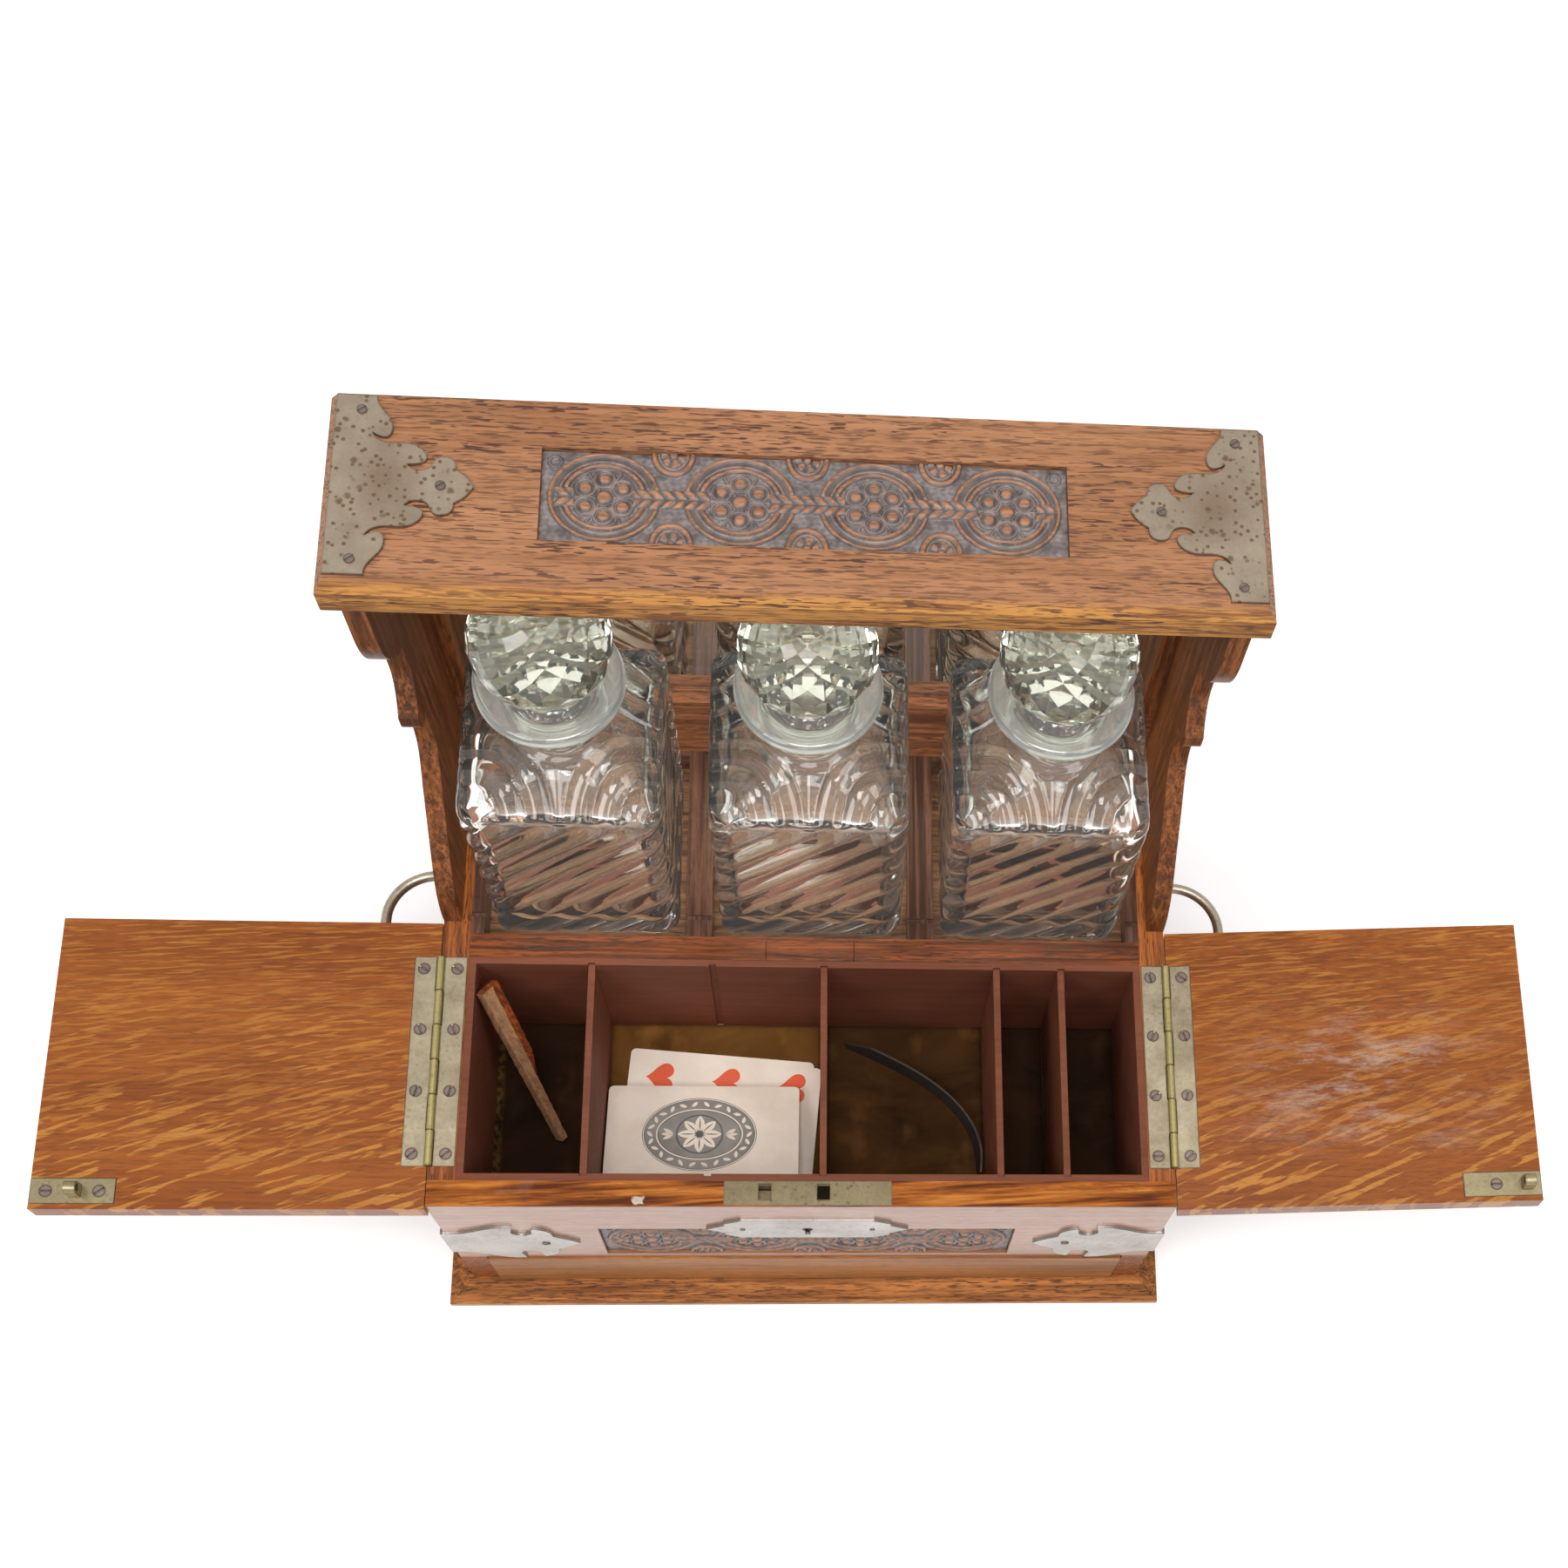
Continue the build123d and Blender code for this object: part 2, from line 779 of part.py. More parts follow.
def round_screw(plane):
    """A round-headed slotted screw; the plane's z points out of its head."""
    with BuildSketch(plane.offset(mount_screw_rise)) as head:
        Circle(mount_screw_radius)
    extrude(head.sketch, amount=-mount_screw_rise)
    with BuildSketch(plane) as shank:
        Circle(screw_shank_radius)
    extrude(shank.sketch, amount=-mount_screw_length)
    with BuildSketch(plane.offset(mount_screw_rise)) as slot:
        Rectangle(2 * mount_screw_radius, screw_slot_width, rotation=35)
    extrude(slot.sketch, amount=-mount_screw_rise / 2, mode=Mode.SUBTRACT)


def mount_screws():
    """Three screws in each canopy mount and one in each wing of the corner straps."""
    planes = canopy_screw_planes()
    for side in (-1, 1):
        planes += [front_screw_plane(side), side_screw_plane(side)]
    with BuildPart() as screws:
        for plane in planes:
            round_screw(plane)
    keep(screws, "mount_screws")


# ---------------------------------------------------------------- games box lining
def games_floor():
    with BuildPart() as board:
        slab(-inner, inner, liner_front, liner_back, dust_top, games_floor_top)
    keep(board, "games_floor")


def games_liner():
    """Thin mahogany lining: two end walls between two long walls grooved for the dividers."""
    half_groove = divider_thickness / 2 + divider_clearance
    with BuildPart() as long_walls:
        for y0, y1 in ((liner_front, liner_inner_front), (liner_inner_back, liner_back)):
            slab(-inner, inner, y0, y1, games_floor_top, liner_top)
        for place in divider_places + (empty_groove_place,):
            slab(
                place - half_groove,
                place + half_groove,
                liner_inner_front - groove_depth,
                liner_inner_back + groove_depth,
                games_floor_top,
                liner_top,
                Mode.SUBTRACT,
            )
    keep(long_walls, "liner_walls")
    with BuildPart() as end_walls:
        for x0, x1 in ((-inner, -liner_inner), (liner_inner, inner)):
            slab(x0, x1, liner_inner_front, liner_inner_back, games_floor_top, liner_top)
    keep(end_walls, "liner_ends")


def velvet_floor():
    """A pad of velvet in each compartment."""
    half = divider_thickness / 2 + divider_clearance
    edges = [-liner_inner]
    for place in divider_places:
        edges += [place - half, place + half]
    edges.append(liner_inner)
    with BuildPart() as velvet:
        for x0, x1 in zip(edges[0::2], edges[1::2]):
            slab(x0, x1, liner_inner_front, liner_inner_back, games_floor_top, velvet_top)
    keep(velvet, "velvet_floor")


def dividers():
    """Sliding boards between the two grooved walls."""
    half = divider_thickness / 2
    y0 = liner_inner_front - groove_depth + divider_clearance
    y1 = liner_inner_back + groove_depth - divider_clearance
    with BuildPart() as boards:
        for place in divider_places:
            slab(place - half, place + half, y0, y1, games_floor_top, liner_top - divider_drop)
    keep(boards, "dividers")


# ---------------------------------------------------------------- hinges and lids
def knuckle_span(index):
    pitch = hinge_length / knuckle_count
    start = front + hinge_front + index * pitch
    return start, start + pitch


def rod_y(x, z, radius, y0, y1, mode=Mode.ADD):
    """A round bar along Y."""
    with BuildSketch(Plane.XZ.offset(-y1)) as section:
        with Locations((x, z)):
            Circle(radius)
    extrude(section.sketch, amount=y1 - y0, mode=mode)


def leaf_screw_places(side, outwards):
    x = side * (half_width + outwards * screw_inset)
    return [(x, front + hinge_front + screw_first + i * screw_pitch) for i in range(leaf_screws)]


def countersink(x, y, z):
    """Cut a countersunk hole down from the face at z."""
    with Locations((x, y, z)):
        Cone(
            screw_shank_radius + screw_clearance,
            screw_head_radius + screw_clearance,
            screw_head_height,
            align=(Align.CENTER, Align.CENTER, Align.MAX),
            mode=Mode.SUBTRACT,
        )


def hinge_leaf(side, outwards):
    """One leaf with its three knuckles; outwards is +1 for the lid's leaf, -1 for the rim's."""
    axis_x = side * half_width
    edge = side * (half_width + outwards * hinge_leaf_width)
    owned = 0 if outwards > 0 else 1
    with BuildPart() as leaf:
        slab(
            axis_x,
            edge,
            front + hinge_front,
            front + hinge_front + hinge_length,
            rim_height - hinge_leaf_thickness,
            rim_height,
        )
        for index in range(knuckle_count):
            y0, y1 = knuckle_span(index)
            if index % 2 == owned:
                rod_y(axis_x, pin_z, knuckle_radius, y0 + knuckle_gap, y1 - knuckle_gap)
            else:
                rod_y(axis_x, pin_z, knuckle_radius + knuckle_relief, y0, y1, Mode.SUBTRACT)
        rod_y(
            axis_x,
            pin_z,
            hinge_pin_radius + hinge_pin_clearance,
            front + hinge_front,
            front + hinge_front + hinge_length,
            Mode.SUBTRACT,
        )
        for x, y in leaf_screw_places(side, outwards):
            countersink(x, y, rim_height)
    return leaf


def flat_screws(places, z):
    """Countersunk slotted screws with their heads level with z, slots at different angles."""
    with BuildPart() as screws:
        for index, (x, y) in enumerate(places):
            with Locations((x, y, z)):
                Cone(
                    screw_shank_radius,
                    screw_head_radius,
                    screw_head_height,
                    align=(Align.CENTER, Align.CENTER, Align.MAX),
                )
                Cylinder(
                    screw_shank_radius,
                    screw_length,
                    align=(Align.CENTER, Align.CENTER, Align.MAX),
                )
            with BuildSketch(Plane.XY.offset(z)):
                with Locations((x, y)):
                    Rectangle(2 * screw_head_radius, screw_slot_width, rotation=40 + 35 * index)
            extrude(amount=-screw_slot_depth, mode=Mode.SUBTRACT)
    return screws


def rim_hinges():
    leaves = []
    places = []
    for side in (-1, 1):
        leaves += hinge_leaf(side, -1).part.solids()
        places += leaf_screw_places(side, -1)
    with BuildPart() as rim_leaves:
        add(leaves)
    keep(rim_leaves, "hinge_rim_leaves")
    keep(flat_screws(places, rim_height), "hinge_rim_screws")
    with BuildPart() as pins:
        for side in (-1, 1):
            rod_y(
                side * half_width,
                pin_z,
                hinge_pin_radius,
                front + hinge_front,
                front + hinge_front + hinge_length,
            )
    keep(pins, "hinge_pins")


def staple_centre(side):
    """Where the staple stands on the open lid: the slot's place, turned over about the pin."""
    slot_x = left_slot_x if side < 0 else right_slot_x
    return 2 * side * half_width - slot_x


def hook_plate_ends(side):
    """The plate runs in from the lid's free end."""
    free_end = side * (half_width + lid_edge_gap + lid_length)
    return free_end, free_end - side * hook_plate_length


def staple(side):
    """Round-topped staple on the open lid, its eye along X for the bolt."""
    radius = staple_width / 2
    eye_z = rim_height + staple_eye_height
    start = staple_centre(side) - staple_length / 2
    centre_y = front + slot_centre_y
    with BuildSketch(Plane((start, centre_y, eye_z), x_dir=(0, 1, 0), z_dir=(1, 0, 0))) as shape:
        Circle(radius)
        with Locations((0, -staple_eye_height / 2)):
            Rectangle(2 * radius, staple_eye_height)
        Circle(staple_eye_radius, mode=Mode.SUBTRACT)
    extrude(shape.sketch, amount=staple_length)


def hook_plate(side):
    """Plate let into the lid, with its staple."""
    outer, inner_end = hook_plate_ends(side)
    centre_y = front + slot_centre_y
    with BuildPart() as plate:
        slab(
            outer,
            inner_end,
            centre_y - hook_plate_width / 2,
            centre_y + hook_plate_width / 2,
            rim_height - hook_plate_thickness,
            rim_height,
        )
        staple(side)
        for x, y in hook_screw_places(side):
            countersink(x, y, rim_height)
    return plate


def hook_screw_places(side):
    """Two screws beside the staple on the left lid, one on the right lid."""
    y = front + slot_centre_y
    if side < 0:
        return [(staple_centre(side) - 12.2, y), (staple_centre(side) + 9.8, y)]
    return [(staple_centre(side) - 13.8, y)]


def lid_board(side):
    """The lid, open, with its inner face up."""
    edge = side * (half_width + lid_edge_gap)
    free_end = side * (half_width + lid_edge_gap + lid_length)
    outer, inner_end = hook_plate_ends(side)
    centre_y = front + slot_centre_y
    half_plate = (hook_plate_width + wood_joint) / 2
    with BuildPart() as lid:
        slab(edge, free_end, lid_front, lid_rear, lid_bottom, rim_height)
        hinge_recess(side, 1)
        slab(
            outer,
            inner_end - side * wood_joint,
            centre_y - half_plate,
            centre_y + half_plate,
            rim_height - hook_plate_thickness,
            rim_height,
            Mode.SUBTRACT,
        )
        pilot_holes(leaf_screw_places(side, 1) + hook_screw_places(side), rim_height)
    return lid


def lids():
    """Both lids with what is fixed to them; the right one rests a few degrees short of flat."""
    for side, name, tilt in ((-1, "left", 0.0), (1, "right", -right_lid_tilt)):
        pin = Axis((side * half_width, 0, pin_z), (0, 1, 0))
        places = leaf_screw_places(side, 1) + hook_screw_places(side)
        pieces = {
            "lid_" + name: lid_board(side),
            "lid_leaf_" + name: hinge_leaf(side, 1),
            "hook_plate_" + name: hook_plate(side),
            "lid_screws_" + name: flat_screws(places, rim_height),
        }
        for label, piece in pieces.items():
            with BuildPart() as turned:
                add(piece.part.rotate(pin, tilt) if tilt else piece.part)
            keep(turned, label)


# ---------------------------------------------------------------- lock and escutcheon
def slot_cut(x, z0, z1):
    slab(
        x - slot_width / 2,
        x + slot_width / 2,
        front + slot_centre_y - slot_length / 2,
        front + slot_centre_y + slot_length / 2,
        z0,
        z1,
        Mode.SUBTRACT,
    )


def lock_plate():
    """Brass top plate of the lock, let into the rim, with the two hook slots."""
    half = lock_plate_length / 2
    with BuildPart() as plate:
        slab(-half, half, front + lock_plate_front, liner_front, lock_top, rim_height)
        for x in (left_slot_x, right_slot_x):
            slot_cut(x, lock_top, rim_height)
    keep(plate, "lock_plate")


def lock_case():
    """Open-topped brass box behind the front panel, with the pin that the key turns on."""
    half = lock_width / 2 - wood_joint
    y0 = front + lock_front
    y1 = y0 + lock_thickness
    wall = lock_wall
    with BuildPart() as case:
        slab(-half, half, y0, y1, lock_bottom, lock_top)
        slab(
            -half + wall, half - wall, y0 + wall, y1 - wall, lock_bottom + wall, lock_top,
            Mode.SUBTRACT,
        )
        cut_keyhole(y0, y0 + wall)
        rod_y(key_x, key_z, key_pin_radius, y0 + wall, y1 - wall)
    keep(case, "lock_case")


def lock_bolt():
    """Sliding bar with a finger for each staple and a tail that the key's cam pushes."""
    y0 = front + lock_front + lock_wall + wood_joint
    y1 = front + lock_front + lock_thickness - lock_wall - wood_joint
    bar_top = staple_tip_z - bolt_clearance
    bar_bottom = bar_top - bolt_bar_height
    fingers = [x - slot_width / 2 - bolt_clearance - bolt_finger for x in (left_slot_x, right_slot_x)]
    with BuildPart() as bolt:
        slab(fingers[0] - bolt_riser, fingers[1], y0, y1, bar_bottom, bar_top)
        slab(fingers[1] - bolt_riser, fingers[1], y0, y1, key_z + key_tail_lift, bar_bottom)
        for x in fingers:
            slab(x - bolt_riser, x, y0, y1, bar_top, bolt_z + bolt_finger_radius)
            with BuildSketch(Plane((x, front + slot_centre_y, bolt_z), z_dir=(1, 0, 0))):
                Circle(bolt_finger_radius)
            extrude(amount=bolt_finger)
    keep(bolt, "lock_bolt")


def escutcheon():
    """Long keyhole plate with stepped, pointed ends."""
    half, high = escutcheon_length / 2, escutcheon_height / 2
    corners = ((0, 1), (0.652, 1), (0.826, 0.63), (0.815, 0.455), (1, 0))
    with BuildPart() as plate:
        with BuildSketch(Plane((key_x, front, key_z), x_dir=(1, 0, 0), z_dir=(0, -1, 0))):
            with BuildLine():
                for side in (-1, 1):
                    for turn in (-1, 1):
                        Polyline([(side * x * half, turn * y * high) for x, y in corners])
            make_face()
        extrude(amount=mount_thickness)
        cut_keyhole(front - mount_thickness, front)
        for x in escutcheon_pin_places():
            rod_y(x, key_z, pin_shank_radius, front - mount_thickness, front, Mode.SUBTRACT)
    keep(plate, "escutcheon")


def escutcheon_pin_places():
    return [key_x - pin_spacing / 2, key_x + pin_spacing / 2]


def escutcheon_pins():
    """Two small round-headed nails."""
    face = front - mount_thickness
    with BuildPart() as pins:
        for x in escutcheon_pin_places():
            rod_y(x, key_z, pin_head_radius, face - pin_head_rise, face)
            rod_y(x, key_z, pin_shank_radius, face, front + pin_depth)
    keep(pins, "escutcheon_pins")


# ---------------------------------------------------------------- carrying handles
def carrying_handles():
    """A fixed round bow on each side, with a rose at each end."""
    legs = (-handle_span / 2, handle_span / 2)
    solids = []
    for side in (-1, 1):
        face = side * half_width
        reach = face + side * handle_reach
        with BuildPart() as handle:
            with BuildLine() as path:
                FilletPolyline(
                    (face, legs[0], handle_height),
                    (reach, legs[0], handle_height),
                    (reach, legs[1], handle_height),
                    (face, legs[1], handle_height),
                    radius=handle_corner,
                )
            with BuildSketch(Plane((face, legs[0], handle_height), z_dir=(side, 0, 0))):
                Circle(handle_radius)
            sweep(path=path.line)
            for leg in legs:
                with BuildSketch(Plane((face, leg, handle_height), z_dir=(side, 0, 0))):
                    Circle(rose_radius)
                extrude(amount=rose_thickness)
        solids += handle.part.solids()
    with BuildPart() as handles:
        add(solids)
    keep(handles, "carrying_handles")


# ---------------------------------------------------------------- decanters
def disc_at(x, z, radius, height, mode=Mode.ADD):
    with BuildSketch(Plane((x, decanter_middle, z))) as disc:
        Circle(radius)
    extrude(disc.sketch, amount=height, mode=mode)


def square_body(x, size, corner, z0, z1, top_size, top_z, mode=Mode.ADD):
    """A square bottle body and the shoulder that narrows it towards the neck."""
    with BuildSketch(Plane((x, decanter_middle, z0))) as foot:
        RectangleRounded(size, size, corner)
    extrude(foot.sketch, amount=z1 - z0, mode=mode)
    with BuildSketch(Plane((x, decanter_middle, z1))) as lower:
        RectangleRounded(size, size, corner)
    with BuildSketch(Plane((x, decanter_middle, top_z))) as upper:
        RectangleRounded(top_size, top_size, top_size / 2 - 0.5)
    loft([lower.sketch, upper.sketch], mode=mode)


def decanter(x, label):
    """Square decanter with a sloped shoulder, a neck and a broad collar, hollow inside."""
    with BuildPart() as glass:
        square_body(
            x, decanter_size, decanter_corner, decanter_bottom, shoulder_z, shoulder_top, neck_z
        )
        disc_at(x, neck_z, neck_radius, neck_height)
        disc_at(x, collar_z, collar_radius, collar_height)
        rim = glass.edges().filter_by(GeomType.CIRCLE).filter_by(
            lambda edge: abs(edge.radius - collar_radius) < 0.01
        )
        fillet(rim, collar_height * 0.35)
        square_body(
            x,
            decanter_size - 2 * glass_wall,
            decanter_corner - glass_wall / 2,
            decanter_bottom + glass_base,
            shoulder_z - glass_wall / 2,
            2 * bore_radius + 2,
            neck_z,
            Mode.SUBTRACT,
        )
        disc_at(x, neck_z, bore_radius, collar_top - neck_z, Mode.SUBTRACT)
    keep(glass, label)


def stopper(x, label):
    """Faceted ball on a ground plug."""
    foot = ball_foot_radius
    with BuildPart() as ball:
        with BuildSketch(Plane.XZ.offset(-decanter_middle)):
            with BuildLine():
                Polyline(
                    (x, ball_bottom - plug_length),
                    (x + bore_radius - stopper_clearance, ball_bottom - plug_length),
                    (x + bore_radius - stopper_clearance, ball_bottom),
                    (x + foot, ball_bottom),
                    (x + foot, ball_bottom + 0.05 * ball_height),
                    (x + 0.78 * ball_radius, ball_bottom + 0.2 * ball_height),
                    (x + ball_radius, ball_bottom + 0.42 * ball_height),
                    (x + ball_radius, ball_bottom + 0.6 * ball_height),
                    (x + 0.8 * ball_radius, ball_bottom + 0.84 * ball_height),
                    (x + 0.42 * ball_radius, ball_top),
                    (x, ball_top),
                    close=True,
                )
            make_face()
        revolve(axis=Axis((x, decanter_middle, 0), (0, 0, 1)))
    keep(ball, label)


def decanters():
    for place, name in ((-1, "left"), (0, "centre"), (1, "right")):
        x = place * decanter_pitch
        decanter(x, "decanter_" + name)
        stopper(x, "stopper_" + name)


# ---------------------------------------------------------------- secret drawer
def drawer():
    """Shallow drawer in the base, its front a little proud of the case."""
    gap = drawer_clearance
    half = inner - gap
    low = plinth_height + gap
    high = drawer_top - gap
    face = front - drawer_proud
    front_back = face + drawer_front_thickness
    rear = back_face - drawer_rear_gap
    inside = half - drawer_wall
    floor = low + drawer_bottom_thickness
    with BuildPart() as drawer_front:
        slab(-half, half, face, front_back, low, high)
    keep(drawer_front, "drawer_front")
    with BuildPart() as sides:
        for x0, x1 in ((-half, -inside), (inside, half)):
            slab(x0, x1, front_back, rear, floor, high)
    keep(sides, "drawer_sides")
    with BuildPart() as rear_wall:
        slab(-inside, inside, rear - drawer_wall, rear, floor, high)
    keep(rear_wall, "drawer_back")
    with BuildPart() as bottom:
        slab(-half, half, front_back, rear, low, floor)
    keep(bottom, "drawer_bottom")


# ---------------------------------------------------------------- loose contents
def playing_cards():
    """Cards flat on the velvet, and a pack that leans from them to the front wall."""
    left, right = divider_places[0], divider_places[1]
    middle_x = (left + right) / 2 + flat_cards_offset[0]
    middle_y = (liner_inner_front + liner_inner_back) / 2 + flat_cards_offset[1]
    with BuildPart() as flat_cards:
        with BuildSketch(Plane.XY.offset(velvet_top)):
            with Locations((middle_x, middle_y)):
                RectangleRounded(card_width, card_height, card_corner, rotation=flat_cards_turn)
        extrude(amount=flat_cards_thickness)
    keep(flat_cards, "flat_cards")
    lean = radians(pack_lean)
    pack_left = left + divider_thickness / 2 + pack_side_gap
    pack_foot = liner_inner_front + seat_gap + card_height * cos(lean)
    foot = (pack_left, pack_foot, velvet_top + flat_cards_thickness + seat_gap)
    leaning = Plane(foot, x_dir=(1, 0, 0), z_dir=(0, sin(lean), cos(lean)))
    with BuildPart() as pack:
        with BuildSketch(leaning):
            with Locations((card_width / 2, -card_height / 2)):
                RectangleRounded(card_width, card_height, card_corner)
        extrude(amount=pack_thickness)
    keep(pack, "card_pack")


def loose_strip():
    """A strip that leans from the velvet to the end wall, its top just below the rim."""
    low = Vector(
        -liner_inner + strip_foot_inset,
        liner_inner_front + strip_foot_place,
        velvet_top + strip_foot_lift,
    )
    high = Vector(
        -liner_inner + strip_top_inset,
        liner_inner_back - strip_top_place,
        liner_top - strip_top_margin,
    )
    direction = high - low
    plane = Plane(low, x_dir=(direction.Y, -direction.X, 0), z_dir=direction)
    with BuildPart() as strip:
        with BuildSketch(plane):
            Rectangle(strip_width, strip_thickness, rotation=strip_roll)
        extrude(amount=direction.length)
    keep(strip, "loose_strip")


def spring_strip():
    """A bent steel strip standing on edge on the velvet."""
    left = divider_places[1] + divider_thickness / 2
    width = divider_places[2] - divider_places[1] - divider_thickness
    depth = liner_inner_back - liner_inner_front
    points = [(left + x * width, liner_inner_front + y * depth) for x, y in spring_strip_course]
    with BuildPart() as strip:
        with BuildSketch(Plane.XY.offset(velvet_top + seat_gap)):
            with BuildLine():
                Spline(*points)
            trace(line_width=spring_strip_thickness)
        extrude(amount=spring_strip_height)
    keep(strip, "spring_strip")


def lower_case():
    base_board()
    plinth_moulding()
    case_side(-1, "case_side_left")
    case_side(1, "case_side_right")
    front_panel()
    dust_board()
    case_back()
    partition_board()
    partition_rail()
    deck_frame()
    well_floor()


def gallery():
    upper_side(-1, "upper_side_left")
    upper_side(1, "upper_side_right")
    upper_back()
    lower_back_panel()
    mirror_frame()
    mirror_glass()
    canopy_board()


def fittings():
    carvings()
    canopy_mounts()
    front_mounts()
    mount_screws()
    rim_hinges()
    lids()
    lock_plate()
    lock_case()
    lock_bolt()
    escutcheon()
    escutcheon_pins()
    carrying_handles()


def contents():
    games_floor()
    games_liner()
    velvet_floor()
    dividers()
    decanters()
    drawer()
    playing_cards()
    loose_strip()
    spring_strip()


lower_case()
gallery()
fittings()
contents()
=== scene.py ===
"""Looks of the oak tantalus: materials, cut glass, carving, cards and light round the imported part.

Metres, in the part's own frame: X to the right, Y to the back, Z up.
"""

import math

import bpy
import numpy as np
from mathutils import Matrix, Vector


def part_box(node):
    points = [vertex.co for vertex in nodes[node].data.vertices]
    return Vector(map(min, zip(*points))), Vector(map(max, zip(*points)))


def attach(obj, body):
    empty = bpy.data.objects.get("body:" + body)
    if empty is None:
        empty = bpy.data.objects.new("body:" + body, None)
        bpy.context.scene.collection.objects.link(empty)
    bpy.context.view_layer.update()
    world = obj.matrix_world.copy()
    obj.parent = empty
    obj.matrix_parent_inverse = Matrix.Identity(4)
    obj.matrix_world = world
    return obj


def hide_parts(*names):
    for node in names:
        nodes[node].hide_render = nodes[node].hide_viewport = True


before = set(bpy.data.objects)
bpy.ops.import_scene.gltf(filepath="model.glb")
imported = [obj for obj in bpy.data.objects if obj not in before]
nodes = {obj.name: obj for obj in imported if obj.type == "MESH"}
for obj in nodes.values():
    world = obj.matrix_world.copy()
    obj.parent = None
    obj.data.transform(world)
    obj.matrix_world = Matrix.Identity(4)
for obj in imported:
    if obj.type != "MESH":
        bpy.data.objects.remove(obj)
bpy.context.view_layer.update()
MM = 0.001


# ---------------------------------------------------------------- material graphs
class Graph:
    """A small helper that builds one material's node tree."""

    def __init__(self, name):
        self.material = bpy.data.materials.new(name)
        self.material.use_nodes = True
        self.tree = self.material.node_tree
        self.shader = self.tree.nodes["Principled BSDF"]

    def add(self, kind, **settings):
        node = self.tree.nodes.new(kind)
        for key, value in settings.items():
            setattr(node, key, value)
        return node

    def feed(self, socket, value):
        if isinstance(value, bpy.types.NodeSocket):
            self.tree.links.new(value, socket)
        elif isinstance(value, (tuple, list)) and len(value) == 3 and socket.type == "RGBA":
            socket.default_value = (*value, 1.0)
        else:
            socket.default_value = value

    def set(self, **values):
        """Set the shader's sockets by name, with _ for a space."""
        for key, value in values.items():
            self.feed(self.shader.inputs[key.replace("_", " ")], value)

    def position(self):
        return self.add("ShaderNodeTexCoord").outputs["Object"]

    def stretched(self, order, scale, shift=(0.0, 0.0, 0.0), turn=0.0):
        """Object position with its axes in this order, turned about Z, scaled and shifted."""
        vector = self.position()
        if turn:
            rotate = self.add("ShaderNodeVectorRotate", rotation_type="Z_AXIS")
            self.feed(rotate.inputs["Vector"], vector)
            rotate.inputs["Angle"].default_value = turn
            vector = rotate.outputs[0]
        split = self.add("ShaderNodeSeparateXYZ")
        self.feed(split.inputs[0], vector)
        join = self.add("ShaderNodeCombineXYZ")
        for index, axis in enumerate(order):
            self.feed(join.inputs[index], split.outputs[axis])
        mapping = self.add("ShaderNodeMapping")
        self.feed(mapping.inputs["Vector"], join.outputs[0])
        mapping.inputs["Scale"].default_value = scale
        mapping.inputs["Location"].default_value = shift
        return mapping.outputs[0]

    def noise(self, vector, scale=1.0, detail=2.0, rough=0.5, distortion=0.0):
        node = self.add("ShaderNodeTexNoise")
        self.feed(node.inputs["Vector"], vector)
        node.inputs["Scale"].default_value = scale
        node.inputs["Detail"].default_value = detail
        node.inputs["Roughness"].default_value = rough
        node.inputs["Distortion"].default_value = distortion
        return node.outputs["Fac"]

    def ramp(self, value, stops):
        node = self.add("ShaderNodeValToRGB")
        self.feed(node.inputs["Fac"], value)
        elements = node.color_ramp.elements
        while len(elements) < len(stops):
            elements.new(0.5)
        for element, (place, colour) in zip(elements, stops):
            element.position = place
            if isinstance(colour, (int, float)):
                colour = (colour, colour, colour)
            element.color = (*colour, 1.0)
        return node.outputs["Color"]

    def mix(self, fac, a, b, blend="MIX"):
        node = self.add("ShaderNodeMix", data_type="RGBA", blend_type=blend)
        self.feed(node.inputs[0], fac)
        self.feed(node.inputs[6], a)
        self.feed(node.inputs[7], b)
        return node.outputs[2]

    def math(self, operation, a, b=0.0, clamp=False):
        node = self.add("ShaderNodeMath", operation=operation, use_clamp=clamp)
        self.feed(node.inputs[0], a)
        self.feed(node.inputs[1], b)
        return node.outputs[0]

    def bump(self, height, strength, distance):
        node = self.add("ShaderNodeBump")
        self.feed(node.inputs["Height"], height)
        node.inputs["Strength"].default_value = strength
        node.inputs["Distance"].default_value = distance
        self.feed(self.shader.inputs["Normal"], node.outputs[0])
        return node


